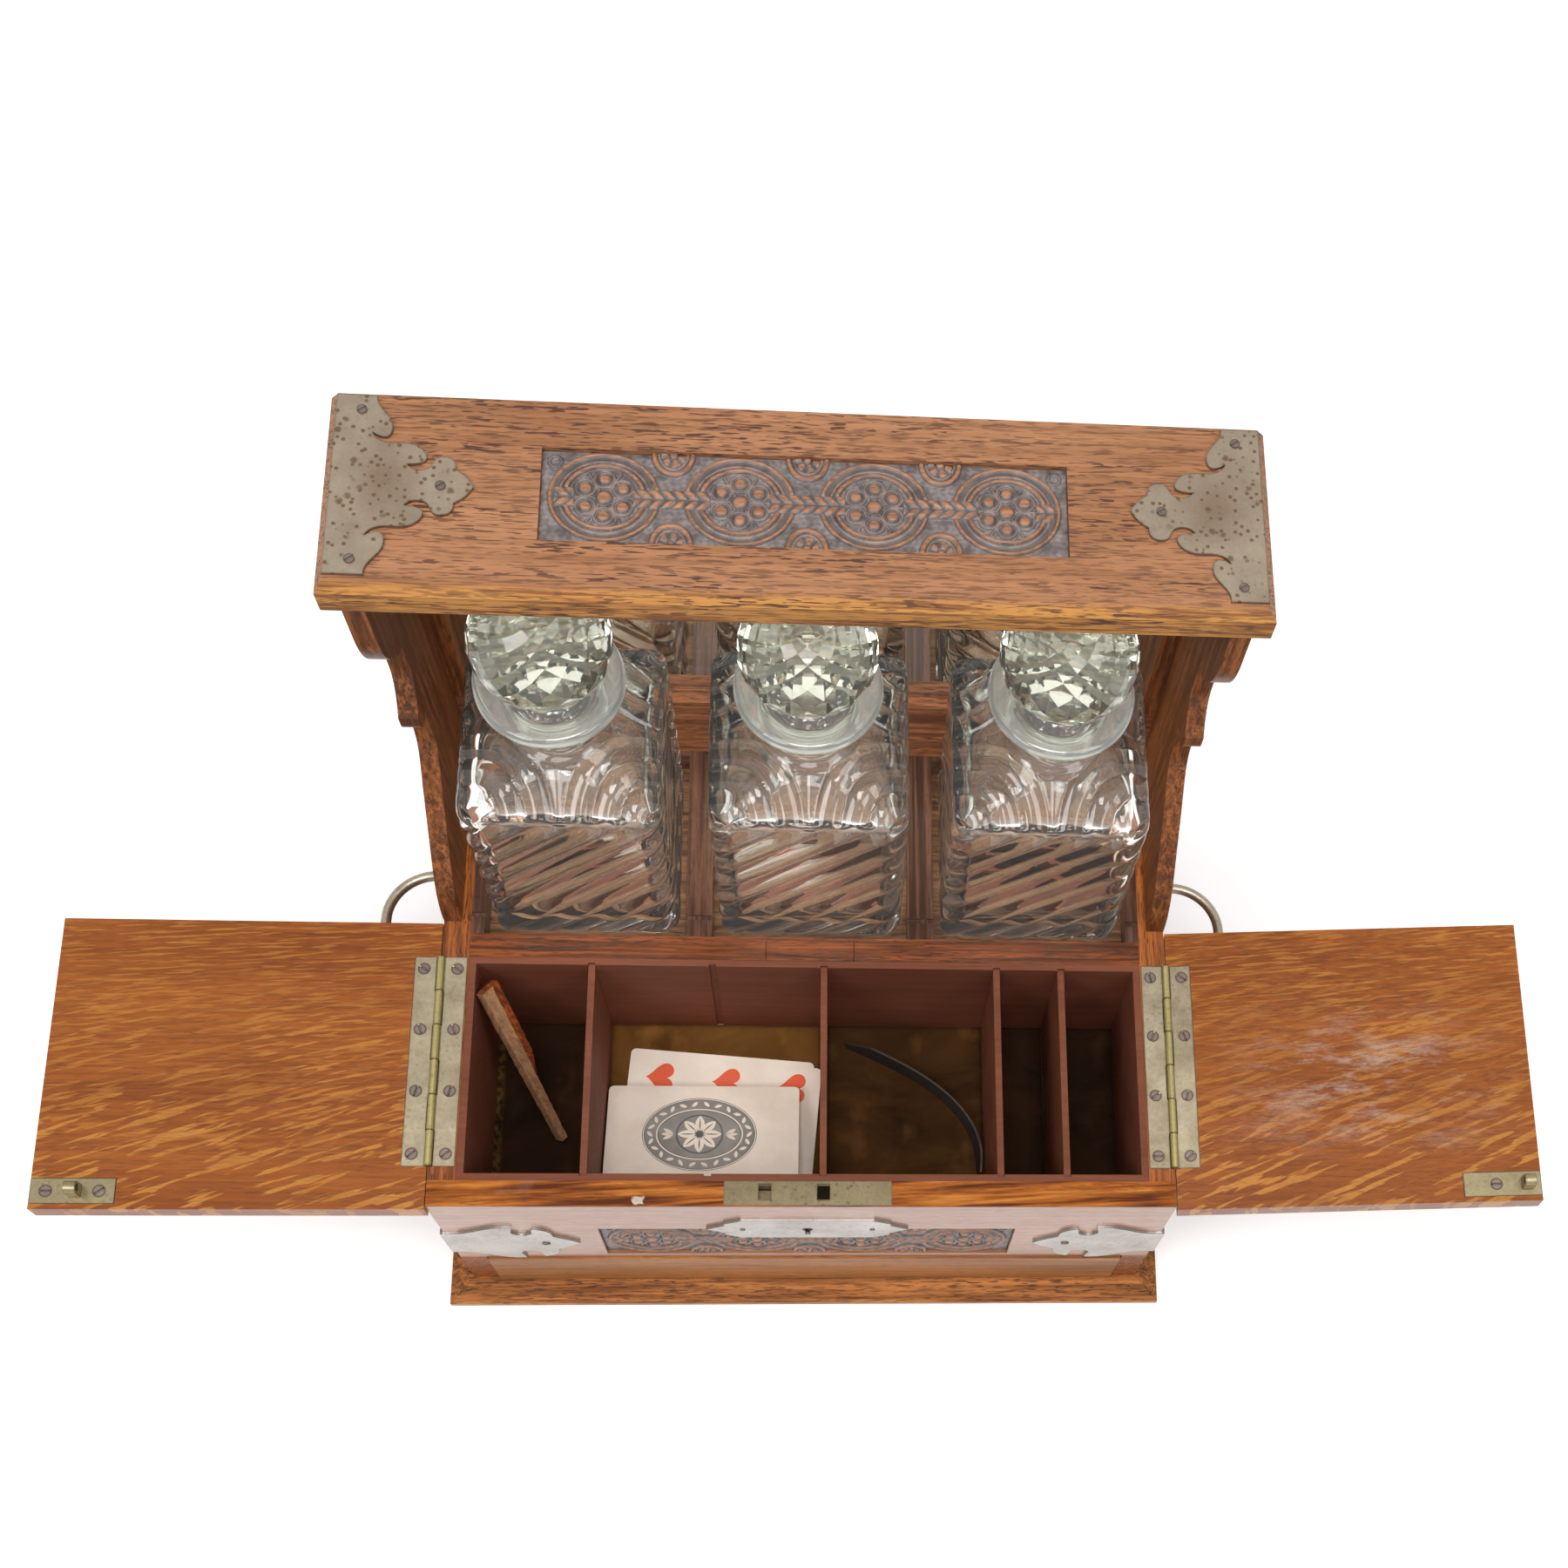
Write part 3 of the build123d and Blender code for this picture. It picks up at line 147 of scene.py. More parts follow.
def wood(
    name,
    dark,
    light,
    grain="XYZ",
    pore=(0.045, 0.018, 0.010),
    pore_amount=0.8,
    figure=None,
    tint=None,
    rough=0.34,
    coat=0.0,
    gloss=0.22,
    streak=0.75,
    seed=0.0,
    wear=0.0,
):
    """Polished wood: drifting tone, growth bands, short dark pores and, if asked, ray flecks."""
    g = Graph(name)
    shift = (seed * 1.7, seed * 3.1, seed * 0.9)
    drift = g.noise(g.stretched(grain, (6.0, 30.0, 30.0), shift), detail=4.0, distortion=0.4)
    colour = g.mix(g.ramp(drift, ((0.30, 0.0), (0.70, 1.0))), dark, light)
    bands = g.noise(g.stretched(grain, (14.0, 420.0, 420.0), shift), detail=3.0, distortion=0.5)
    bright = tuple(min(1.0, 1.28 * c) for c in light)
    deep = tuple(0.55 * c for c in dark)
    colour = g.mix(g.ramp(bands, ((0.48, 0.0), (0.66, streak))), colour, bright)
    colour = g.mix(g.ramp(bands, ((0.32, streak), (0.50, 0.0))), colour, deep)
    if figure:
        colour = figure(g, colour, shift)
    pores = g.noise(g.stretched(grain, (130.0, 1250.0, 1250.0), shift), detail=1.0)
    groups = g.noise(g.stretched(grain, (10.0, 150.0, 150.0), shift), detail=2.0)
    spread = g.ramp(groups, ((0.32, 0.25), (0.58, 1.0)))
    dashes = g.ramp(pores, ((0.56, 0.0), (0.61, 1.0)))
    coarse = g.noise(g.stretched(grain, (80.0, 900.0, 900.0), shift), detail=2.0)
    coarse = g.ramp(coarse, ((0.55, 0.0), (0.64, 0.6)))
    dashed = g.math("MAXIMUM", g.math("MULTIPLY", dashes, spread), coarse)
    dashed = g.math("MULTIPLY", dashed, pore_amount)
    height = g.math("SUBTRACT", 1.0, dashed)
    if tint:
        colour = tint(g, colour)
    colour = g.mix(dashed, colour, pore)
    if wear:
        worn = g.noise(g.stretched("XYZ", (60.0, 60.0, 60.0), shift), detail=5.0)
        worn = g.ramp(worn, ((0.60, 0.0), (0.80, 1.0)))
        colour = g.mix(g.math("MULTIPLY", worn, wear), colour, (0.50, 0.38, 0.30))
    smudge = g.noise(g.stretched("XYZ", (25.0, 25.0, 25.0), shift), detail=3.0)
    roughness = g.math("MULTIPLY_ADD", smudge, 0.22)
    roughness.node.inputs[2].default_value = rough - 0.11
    g.set(Base_Color=colour, Roughness=roughness, Specular_IOR_Level=gloss)
    g.set(Coat_Roughness=0.12)
    if coat:
        g.set(Coat_Weight=coat)
    g.bump(height, 0.35, 0.0002)
    return g.material


def worn_edges(g, radius):
    """1 along the edges of a piece, 0 on its flats."""
    bevel = g.add("ShaderNodeBevel", samples=4)
    bevel.inputs["Radius"].default_value = radius
    dot = g.add("ShaderNodeVectorMath", operation="DOT_PRODUCT")
    g.feed(dot.inputs[0], bevel.outputs[0])
    g.feed(dot.inputs[1], g.add("ShaderNodeNewGeometry").outputs["Normal"])
    return g.ramp(dot.outputs["Value"], ((0.82, 1.0), (0.985, 0.0)))


def round_spots(g, scale, size, fine, shift):
    """Uneven round spots, one at most in each cell of this many to the metre."""
    cells = g.add("ShaderNodeTexVoronoi")
    g.feed(cells.inputs["Vector"], g.stretched("XYZ", (scale, scale, scale), shift))
    cells.inputs["Scale"].default_value = 1.0
    away = g.math("ADD", cells.outputs["Distance"], g.math("MULTIPLY", fine, 0.2))
    return g.ramp(away, ((size + 0.05, 1.0), (size + 0.15, 0.0)))


def old_metal(
    name, base, spot, edge=None, spotted=0.85, rough=0.34, seed=0.0, patches=0.5, metallic=0.85,
    tint=None, fine_amount=0.3,
):
    """Tarnished plated brass: cloudy tone, brown spots and small scratches."""
    g = Graph(name)
    shift = (seed * 2.3, seed, seed * 1.4)
    cloud = g.noise(g.stretched("XYZ", (55.0, 55.0, 55.0), shift), detail=5.0, rough=0.6)
    colour = g.mix(g.ramp(cloud, ((0.35, 0.0), (0.68, 1.0))), base, edge or base)
    if tint:
        colour = tint(g, colour)
    colour = g.mix(g.math("MULTIPLY", worn_edges(g, 0.0010), 0.8), colour, (0.055, 0.035, 0.025))
    fine = g.noise(g.stretched("XYZ", (700.0, 700.0, 700.0), shift), detail=3.0)
    colour = g.mix(g.ramp(fine, ((0.45, 0.0), (0.75, fine_amount))), colour, spot)
    field = g.noise(g.stretched("XYZ", (26.0, 26.0, 26.0), shift), detail=2.0)
    field = g.ramp(field, ((patches - 0.10, 0.0), (patches + 0.06, 1.0)))
    dots = g.math("MAXIMUM", round_spots(g, 330.0, 0.26, fine, shift), round_spots(g, 120.0, 0.15, fine, shift))
    dotted = g.math("MULTIPLY", dots, g.math("MULTIPLY", field, spotted))
    colour = g.mix(dotted, colour, spot)
    scratch = g.noise(g.stretched("XYZ", (90.0, 2600.0, 900.0), shift, turn=0.5), detail=2.0)
    roughness = g.math("MULTIPLY_ADD", cloud, 0.28)
    roughness.node.inputs[2].default_value = rough - 0.12
    g.set(Base_Color=colour, Metallic=metallic, Roughness=roughness)
    g.bump(g.math("ADD", scratch, fine), 0.10, 0.0001)
    return g.material


def glass(name, tint, rough=0.02, clear=1.0, index=1.50):
    """Old glass; what isn't clear scatters a little pale light: ground glass on the collar, painted sheen of
    the studio light on the body and the stopper.
    """
    g = Graph(name)
    g.set(Base_Color=tint, Roughness=rough, IOR=index, Transmission_Weight=clear)
    return g.material


def axis_place(g, axis):
    """One coordinate of the object position, in metres."""
    split = g.add("ShaderNodeSeparateXYZ")
    g.feed(split.inputs[0], g.position())
    return split.outputs[axis]


def near(g, value, centre, reach, fade):
    """1 within reach of the centre, falling to 0 over fade."""
    away = g.math("ABSOLUTE", g.math("SUBTRACT", value, centre))
    fall = g.math("DIVIDE", g.math("SUBTRACT", away, reach), fade)
    return g.math("SUBTRACT", 1.0, fall, clamp=True)


def lid_figure(lean):
    """Silver grain of quartered oak: fine flecks behind, bolder leaning ones in front."""
    def figure(g, colour, shift):
        fine = g.noise(g.stretched("XYZ", (55.0, 760.0, 60.0), shift, turn=0.2 * lean), detail=2.0)
        fine = g.math("MULTIPLY", g.ramp(fine, ((0.53, 0.0), (0.60, 1.0))), 0.6)
        middle = g.noise(g.stretched("XYZ", (40.0, 430.0, 60.0), shift, turn=0.7 * lean), detail=2.0)
        middle = g.math("MULTIPLY", g.ramp(middle, ((0.56, 0.0), (0.60, 1.0))), 0.7)
        bold = g.noise(
            g.stretched("XYZ", (38.0, 330.0, 60.0), shift, turn=lean), detail=2.0, distortion=0.15
        )
        bold = g.ramp(bold, ((0.55, 0.0), (0.58, 0.9)))
        place = axis_place(g, "Y")
        behind = near(g, place, 0.000, 0.030, 0.045)
        between = near(g, place, -0.055, 0.020, 0.030)
        front = near(g, place, -0.125, 0.040, 0.030)
        amount = g.math("MULTIPLY", fine, behind)
        amount = g.math("MAXIMUM", amount, g.math("MULTIPLY", middle, between))
        amount = g.math("MAXIMUM", amount, g.math("MULTIPLY", bold, front))
        patches = g.noise(g.stretched("XYZ", (16.0, 22.0, 16.0), shift), detail=3.0)
        patches = g.ramp(patches, ((0.36, 0.45), (0.56, 1.0)))
        return g.mix(g.math("MULTIPLY", amount, patches), colour, FLECK)

    return figure


def right_lid_painted_glare(g, colour):
    """Painted glare: a whitish sheen of reflected light, in broken strokes over the middle of the lid."""
    across = near(g, axis_place(g, "X"), 0.255, 0.020, 0.050)
    along = near(g, axis_place(g, "Y"), -0.062, 0.010, 0.030)
    strokes = g.noise(g.stretched("XYZ", (30.0, 95.0, 60.0), (3.0, 1.0, 2.0)), detail=8.0, rough=0.78)
    strokes = g.ramp(strokes, ((0.48, 0.0), (0.66, 1.0)))
    slope = g.math("MULTIPLY", axis_place(g, "X"), math.tan(math.radians(6)))
    inside = near(g, g.math("SUBTRACT", axis_place(g, "Z"), slope), 0.1246, 0.0040, 0.0020)
    amount = g.math("MULTIPLY", strokes, g.math("MULTIPLY", across, g.math("MULTIPLY", along, inside)))
    # mix the painted glare colour into the top of the lid
    return g.mix(g.math("MULTIPLY", amount, 0.8, clamp=True), colour, (0.55, 0.41, 0.34))


def canopy_front_gold(g, colour):
    """The moulded front edge is worn to a golden tone with dark lines."""
    edge = near(g, axis_place(g, "Y"), 0.0385, 0.0030, 0.0030)
    lines = g.noise(g.stretched("XYZ", (26.0, 700.0, 500.0), (1.0, 4.0, 2.0)), detail=3.0)
    gold = g.mix(g.ramp(lines, ((0.38, 0.0), (0.52, 1.0))), (0.24, 0.085, 0.022), (0.58, 0.265, 0.062))
    return g.mix(g.math("MULTIPLY", edge, 0.85), colour, gold)


def mount_stain(g, colour):
    """A brown stain in the middle of each canopy mount."""
    away = near(g, g.math("ABSOLUTE", axis_place(g, "X")), 0.150, 0.002, 0.014)
    deep = near(g, axis_place(g, "Y"), 0.0850, 0.002, 0.016)
    stain = g.math("MULTIPLY", g.math("MULTIPLY", away, deep), 0.7)
    return g.mix(stain, colour, (0.215, 0.130, 0.090))


def front_rim(g, colour):
    """The rim on top of the front keeps its deep orange, strongly streaked."""
    top = near(g, axis_place(g, "Z"), 0.1422, 0.0010, 0.0008)
    streaks = g.noise(g.stretched("XYZ", (22.0, 420.0, 60.0), (2.0, 5.0, 1.0), turn=-0.05), detail=3.0)
    rim = g.mix(g.ramp(streaks, ((0.36, 0.0), (0.56, 1.0))), (0.10, 0.022, 0.006), (0.42, 0.120, 0.018))
    rim = g.mix(g.ramp(streaks, ((0.56, 0.0), (0.70, 0.8))), rim, (0.62, 0.24, 0.045))
    g.set(Coat_Weight=g.math("MULTIPLY", g.math("SUBTRACT", 1.0, top), 0.5))
    g.set(Specular_IOR_Level=g.math("SUBTRACT", 0.3, g.math("MULTIPLY", top, 0.2)))
    return rim_chip(g, g.mix(top, colour, rim))


def rim_chip(g, colour):
    """A pale, uneven chip in the front rim."""
    uneven = g.math("MULTIPLY", g.noise(g.stretched("XYZ", (420.0, 420.0, 420.0)), detail=2.0), 0.0030)
    along = near(g, g.math("ADD", axis_place(g, "X"), uneven), -0.0725, 0.0021, 0.0006)
    deep = near(g, g.math("ADD", axis_place(g, "Y"), uneven), -0.1158, 0.0014, 0.0006)
    high = near(g, axis_place(g, "Z"), 0.142, 0.0010, 0.0010)
    chip = g.math("MULTIPLY", along, g.math("MULTIPLY", deep, high))
    return g.mix(chip, colour, (0.62, 0.50, 0.40))


def knuckle_brass(g, colour):
    """The knuckles and pins are worn to bare brass."""
    away = g.math("ABSOLUTE", axis_place(g, "X"))
    barrel = near(g, away, 0.165, 0.0017, 0.0004)
    return g.mix(g.math("MULTIPLY", barrel, 0.85), colour, (0.42, 0.35, 0.13))


CANOPY_DARK = (0.33, 0.140, 0.062)
CANOPY_LIGHT = (0.46, 0.218, 0.108)
LID_DARK = (0.225, 0.056, 0.010)
LID_LIGHT = (0.345, 0.100, 0.018)
FLECK = (0.54, 0.225, 0.045)
RAIL_DARK = (0.20, 0.052, 0.013)
RAIL_LIGHT = (0.37, 0.110, 0.024)

canopy_wood = wood(
    "canopy_wood", CANOPY_DARK, CANOPY_LIGHT, seed=1.0, rough=0.36, tint=canopy_front_gold,
    pore=(0.085, 0.036, 0.022), streak=0.32, pore_amount=0.95,
)
front_wood = wood(
    "front_wood", (0.30, 0.125, 0.060), (0.44, 0.20, 0.115), pore_amount=0.35, seed=2.0, wear=0.2,
    gloss=0.3, streak=0.3, tint=front_rim,
)
plinth_wood = wood("plinth_wood", (0.25, 0.082, 0.022), (0.44, 0.165, 0.045), seed=3.0, gloss=0.15)
drawer_wood = wood(
    "drawer_wood", (0.24, 0.085, 0.022), (0.44, 0.175, 0.045), seed=4.0, pore_amount=0.4, gloss=0.3,
    streak=0.4,
)
side_wood = wood("side_wood", RAIL_DARK, RAIL_LIGHT, grain="YXZ", seed=5.0)
gallery_wood = wood(
    "gallery_wood", (0.13, 0.042, 0.014), (0.29, 0.098, 0.030), grain="ZYX", seed=6.0
)
back_wood = wood("back_wood", (0.10, 0.038, 0.016), (0.22, 0.085, 0.035), seed=7.0, rough=0.5, coat=0.0)
panel_wood = wood("panel_wood", (0.15, 0.052, 0.022), (0.31, 0.115, 0.048), seed=8.0)
rail_wood = wood("rail_wood", (0.11, 0.028, 0.008), (0.24, 0.062, 0.014), seed=9.0, streak=0.9)
deck_wood = wood(
    "deck_wood", (0.055, 0.026, 0.016), (0.13, 0.062, 0.040), grain="YXZ", seed=10.0, rough=0.28,
    pore_amount=0.5, coat=0.4,
)
floor_wood = wood("floor_wood", (0.12, 0.055, 0.026), (0.22, 0.11, 0.05), seed=11.0, rough=0.5)
plain_wood = wood(
    "plain_wood", (0.30, 0.16, 0.075), (0.46, 0.27, 0.13), seed=12.0, rough=0.6, coat=0.0,
    pore_amount=0.3,
)
mahogany = wood(
    "mahogany", (0.150, 0.047, 0.024), (0.225, 0.074, 0.040), seed=13.0, rough=0.62,
    pore_amount=0.12, pore=(0.07, 0.02, 0.012), wear=0.05, streak=0.15, gloss=0.15,
)
stick_face = wood(
    "stick_face", (0.17, 0.036, 0.012), (0.34, 0.080, 0.020), grain="ZYX", seed=14.0, rough=0.45,
)
stick_edge = wood(
    "stick_edge", (0.20, 0.095, 0.045), (0.40, 0.21, 0.105), grain="ZYX", seed=14.5, rough=0.6,
    pore_amount=0.25, streak=0.4,
)
left_lid_wood = wood(
    "left_lid_wood", LID_DARK, LID_LIGHT, figure=lid_figure(-0.34), seed=15.0, pore_amount=0.3,
    rough=0.30, streak=0.3,
)
# the right lid carries a painted glare of reflected light on its top
right_lid_wood = wood(
    "right_lid_wood", LID_DARK, LID_LIGHT, figure=lid_figure(-0.38), tint=right_lid_painted_glare, seed=16.0,
    pore_amount=0.3, rough=0.30, streak=0.3,
)

mount_metal = old_metal(
    "mount_metal", (0.39, 0.32, 0.240), (0.145, 0.082, 0.042), (0.27, 0.215, 0.155), rough=0.38,
    patches=0.46, fine_amount=0.15, tint=mount_stain,
)
front_metal = old_metal(
    "front_metal", (0.46, 0.445, 0.42), (0.20, 0.16, 0.13), (0.36, 0.34, 0.315), seed=2.0,
    spotted=0.4, fine_amount=0.2,
)
leaf_metal = old_metal(
    "leaf_metal", (0.43, 0.365, 0.25), (0.16, 0.11, 0.07), (0.23, 0.185, 0.12), seed=3.0,
    spotted=0.35, rough=0.36, tint=knuckle_brass, patches=0.56,
)
plate_metal = old_metal(
    "plate_metal", (0.21, 0.168, 0.092), (0.07, 0.05, 0.03), (0.125, 0.098, 0.056), seed=4.0,
    spotted=0.5, patches=0.54,
)
hook_metal = old_metal(
    "hook_metal", (0.34, 0.285, 0.165), (0.14, 0.10, 0.055), (0.24, 0.195, 0.11), seed=4.5,
    spotted=0.4, patches=0.54,
)
screw_metal = old_metal(
    "screw_metal", (0.24, 0.19, 0.16), (0.10, 0.065, 0.05), (0.17, 0.13, 0.11), seed=5.0,
    spotted=0.2, rough=0.42,
)
dark_steel = old_metal(
    "dark_steel", (0.050, 0.036, 0.028), (0.02, 0.012, 0.010), (0.035, 0.026, 0.02), seed=6.0,
    spotted=0.2, rough=0.5, metallic=0.4,
)
handle_metal = old_metal(
    "handle_metal", (0.40, 0.35, 0.27), (0.20, 0.14, 0.08), (0.30, 0.26, 0.19), seed=7.0,
    spotted=0.3,
)
# painted sheen: the small unclear share of the body and the stopper stands in for the studio's sheen on the
# glass; the collar's larger share is ground glass
decanter_glass = glass("decanter_glass", (0.985, 0.982, 0.935), rough=0.01, clear=0.985)
collar_glass = glass("collar_glass", (0.955, 0.965, 0.925), rough=0.08, clear=0.90)
stopper_glass = glass("stopper_glass", (0.815, 0.835, 0.725), rough=0.0, clear=0.97, index=1.44)


def mirror_material():
    g = Graph("mirror_silver")
    age = g.noise(g.stretched("XYZ", (40.0, 40.0, 40.0)), detail=5.0, rough=0.65)
    tint = g.mix(g.ramp(age, ((0.62, 0.0), (0.75, 1.0))), (0.74, 0.76, 0.72), (0.48, 0.46, 0.38))
    g.set(Base_Color=tint, Metallic=1.0, Roughness=0.03)
    return g.material


def velvet_material(name, dark, light, worn_colour):
    g = Graph(name)
    nap = g.noise(g.stretched("XYZ", (18.0, 30.0, 30.0)), detail=4.0, rough=0.65, distortion=0.8)
    pile = g.noise(g.stretched("XYZ", (1500.0, 1500.0, 1500.0)), detail=2.0)
    colour = g.mix(g.ramp(nap, ((0.32, 0.0), (0.68, 1.0))), dark, light)
    worn = g.noise(g.stretched("XYZ", (60.0, 40.0, 60.0), (4.0, 2.0, 1.0)), detail=3.0)
    colour = g.mix(g.ramp(worn, ((0.58, 0.0), (0.74, 0.6))), colour, worn_colour)
    fray = near(g, axis_place(g, "X"), -0.1500, 0.0022, 0.0020)
    ragged = g.noise(g.stretched("XYZ", (320.0, 320.0, 320.0)), detail=3.0)
    fray = g.math("MULTIPLY", fray, g.ramp(ragged, ((0.38, 0.0), (0.60, 0.7))))
    colour = g.mix(fray, colour, (0.13, 0.070, 0.018))
    g.set(Base_Color=colour, Roughness=0.95, Sheen_Weight=0.06, Sheen_Roughness=0.4)
    g.set(Sheen_Tint=(0.75, 0.50, 0.20), Specular_IOR_Level=0.1)
    g.bump(g.math("ADD", nap, g.math("MULTIPLY", pile, 0.3)), 0.5, 0.0006)
    return g.material


def card_material(name, colour, dirty):
    g = Graph(name)
    age = g.noise(g.stretched("XYZ", (50.0, 50.0, 50.0)), detail=5.0, rough=0.6)
    tone = g.mix(g.ramp(age, ((0.40, 0.0), (0.72, 1.0))), colour, dirty)
    g.set(Base_Color=tone, Roughness=0.55)
    return g.material


mirror_silver = mirror_material()
# One velvet in three copies: the gold one as lit, the two darker ones with painted shade for the compartments
# that lie in shade.
velvet_gold = velvet_material(
    "velvet_gold", (0.075, 0.030, 0.007), (0.17, 0.075, 0.017), (0.26, 0.115, 0.026)
)
velvet_painted_half_shade = velvet_material(
    "velvet_painted_half_shade", (0.026, 0.011, 0.0035), (0.075, 0.031, 0.009), (0.13, 0.057, 0.016)
)
velvet_painted_shade = velvet_material(
    "velvet_painted_shade", (0.015, 0.0065, 0.003), (0.034, 0.015, 0.006), (0.055, 0.024, 0.008)
)
card_cream = card_material("card_cream", (0.91, 0.79, 0.67), (0.81, 0.67, 0.54))
card_edge = card_material("card_edge", (0.50, 0.32, 0.20), (0.28, 0.15, 0.08))
heart_red = card_material("heart_red", (0.80, 0.100, 0.030), (0.74, 0.11, 0.040))
print_dark = card_material("print_dark", (0.09, 0.085, 0.08), (0.16, 0.15, 0.14))
print_grey = card_material("print_grey", (0.24, 0.225, 0.20), (0.36, 0.33, 0.29))

NODE_MATERIALS = {
    "base_board": plain_wood,
    "plinth_moulding": plinth_wood,
    "case_side_left": side_wood,
    "case_side_right": side_wood,
    "front_panel": front_wood,
    "dust_board": plain_wood,
    "case_back": back_wood,
    "partition_board": back_wood,
    "partition_rail": rail_wood,
    "deck_frame": deck_wood,
    "well_floor": floor_wood,
    "upper_side_left": gallery_wood,
    "upper_side_right": gallery_wood,
    "upper_back": back_wood,
    "lower_back_panel": panel_wood,
    "mirror_rails": panel_wood,
    "mirror_stiles": gallery_wood,
    "mirror_glass": mirror_silver,
    "canopy_board": canopy_wood,
    "canopy_mounts": mount_metal,
    "front_mounts": front_metal,
    "mount_screws": screw_metal,
    "hinge_rim_leaves": leaf_metal,
    "hinge_rim_screws": screw_metal,
    "hinge_pins": hook_metal,
    "lock_plate": plate_metal,
    "lock_case": plate_metal,
    "lock_bolt": plate_metal,
    "escutcheon": front_metal,
    "escutcheon_pins": screw_metal,
    "carrying_handles": handle_metal,
    "games_floor": plain_wood,
    "liner_walls": mahogany,
    "liner_ends": mahogany,
    "dividers": mahogany,
    "spring_strip": dark_steel,
    "lid_left": left_lid_wood,
    "lid_right": right_lid_wood,
    "lid_leaf_left": leaf_metal,
    "lid_leaf_right": leaf_metal,
    "hook_plate_left": hook_metal,
    "hook_plate_right": hook_metal,
    "lid_screws_left": screw_metal,
    "lid_screws_right": screw_metal,
    "drawer_front": drawer_wood,
    "drawer_sides": plain_wood,
    "drawer_back": plain_wood,
    "drawer_bottom": plain_wood,
}
WOOD_BEVEL = 0.0007
METAL_BEVEL = 0.0002
METALS = (mount_metal, front_metal, leaf_metal, plate_metal, hook_metal, screw_metal, dark_steel)


def dress_cad_nodes():
    for name, material in NODE_MATERIALS.items():
        obj = nodes[name]
        for entry in obj.material_slots:
            entry.material = material
        if material in (handle_metal, mirror_silver):
            continue
        bevel = obj.modifiers.new("worn_edges", "BEVEL")
        bevel.width = METAL_BEVEL if material in METALS else WOOD_BEVEL
        bevel.segments = 2
        bevel.limit_method = "ANGLE"
        bevel.angle_limit = math.radians(32)
        bevel.use_clamp_overlap = True
        bevel.harden_normals = True


# ---------------------------------------------------------------- mesh helpers
def mesh_piece(name, verts, faces, material, body, replaces=(), smooth=True):
    mesh = bpy.data.meshes.new(name)
    mesh.from_pydata([tuple(v) for v in verts], [], faces)
    mesh.validate()
    mesh.update()
    mesh.polygons.foreach_set("use_smooth", [smooth] * len(mesh.polygons))
    mesh.materials.append(material)
    obj = bpy.data.objects.new(name, mesh)
    bpy.context.scene.collection.objects.link(obj)
    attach(obj, body)
    if replaces:
        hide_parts(*replaces)
    return obj


def loft_faces(rings, count, closed_ends=(True, True)):
    """Faces between successive rings of count points each."""
    faces = []
    for ring in range(rings - 1):
        a, b = ring * count, (ring + 1) * count
        for i in range(count):
            j = (i + 1) % count
            faces.append((a + i, a + j, b + j, b + i))
    if closed_ends[0]:
        faces.append(tuple(reversed(range(count))))
    if closed_ends[1]:
        last = (rings - 1) * count
        faces.append(tuple(range(last, last + count)))
    return faces


# ---------------------------------------------------------------- decanters
DECANTER_X = (-0.102, 0.0, 0.102)
DECANTER_Y = 0.0568
BODY_HALF = 0.0420
AROUND = 320
RIB_COUNT = 18
RIB_PITCH = 0.0170
RIB_DEPTH = 0.0019
EDGE_RADIUS = 0.0038
EDGE_TURN = math.radians(60)
SHOULDER_RISE = 0.0150
NECK_FOOT = 0.0195
RING_FIRST, RING_PITCH, RING_REACH, RING_DEPTH = 0.0120, 0.0112, 0.0400, 0.0020
COLLAR_FOOT = 0.2779


def square_ring(half, corner, count=AROUND):
    """Points round a square with rounded corners, with each point's share of the way round."""
    straight = 2 * (half - corner)
    arc = math.pi / 2 * corner
    side = straight + arc
    points = []
    for i in range(count):
        s = i / count * 4 * side
        turn, along = divmod(s, side)
        if along < straight:
            x, y = half, along - straight / 2
            nx, ny = 1.0, 0.0
        else:
            a = (along - straight) / corner
            x = half - corner + corner * math.cos(a)
            y = half - corner + corner * math.sin(a)
            nx, ny = math.cos(a), math.sin(a)
        angle = turn * math.pi / 2
        c, sn = math.cos(angle), math.sin(angle)
        points.append((x * c - y * sn, x * sn + y * c, nx * c - ny * sn, nx * sn + ny * c, i / count))
    return points


def rib(phase):
    """Rounded rib with a narrow valley between ribs, 0 to 1."""
    return abs(math.sin(math.pi * phase)) ** 0.7


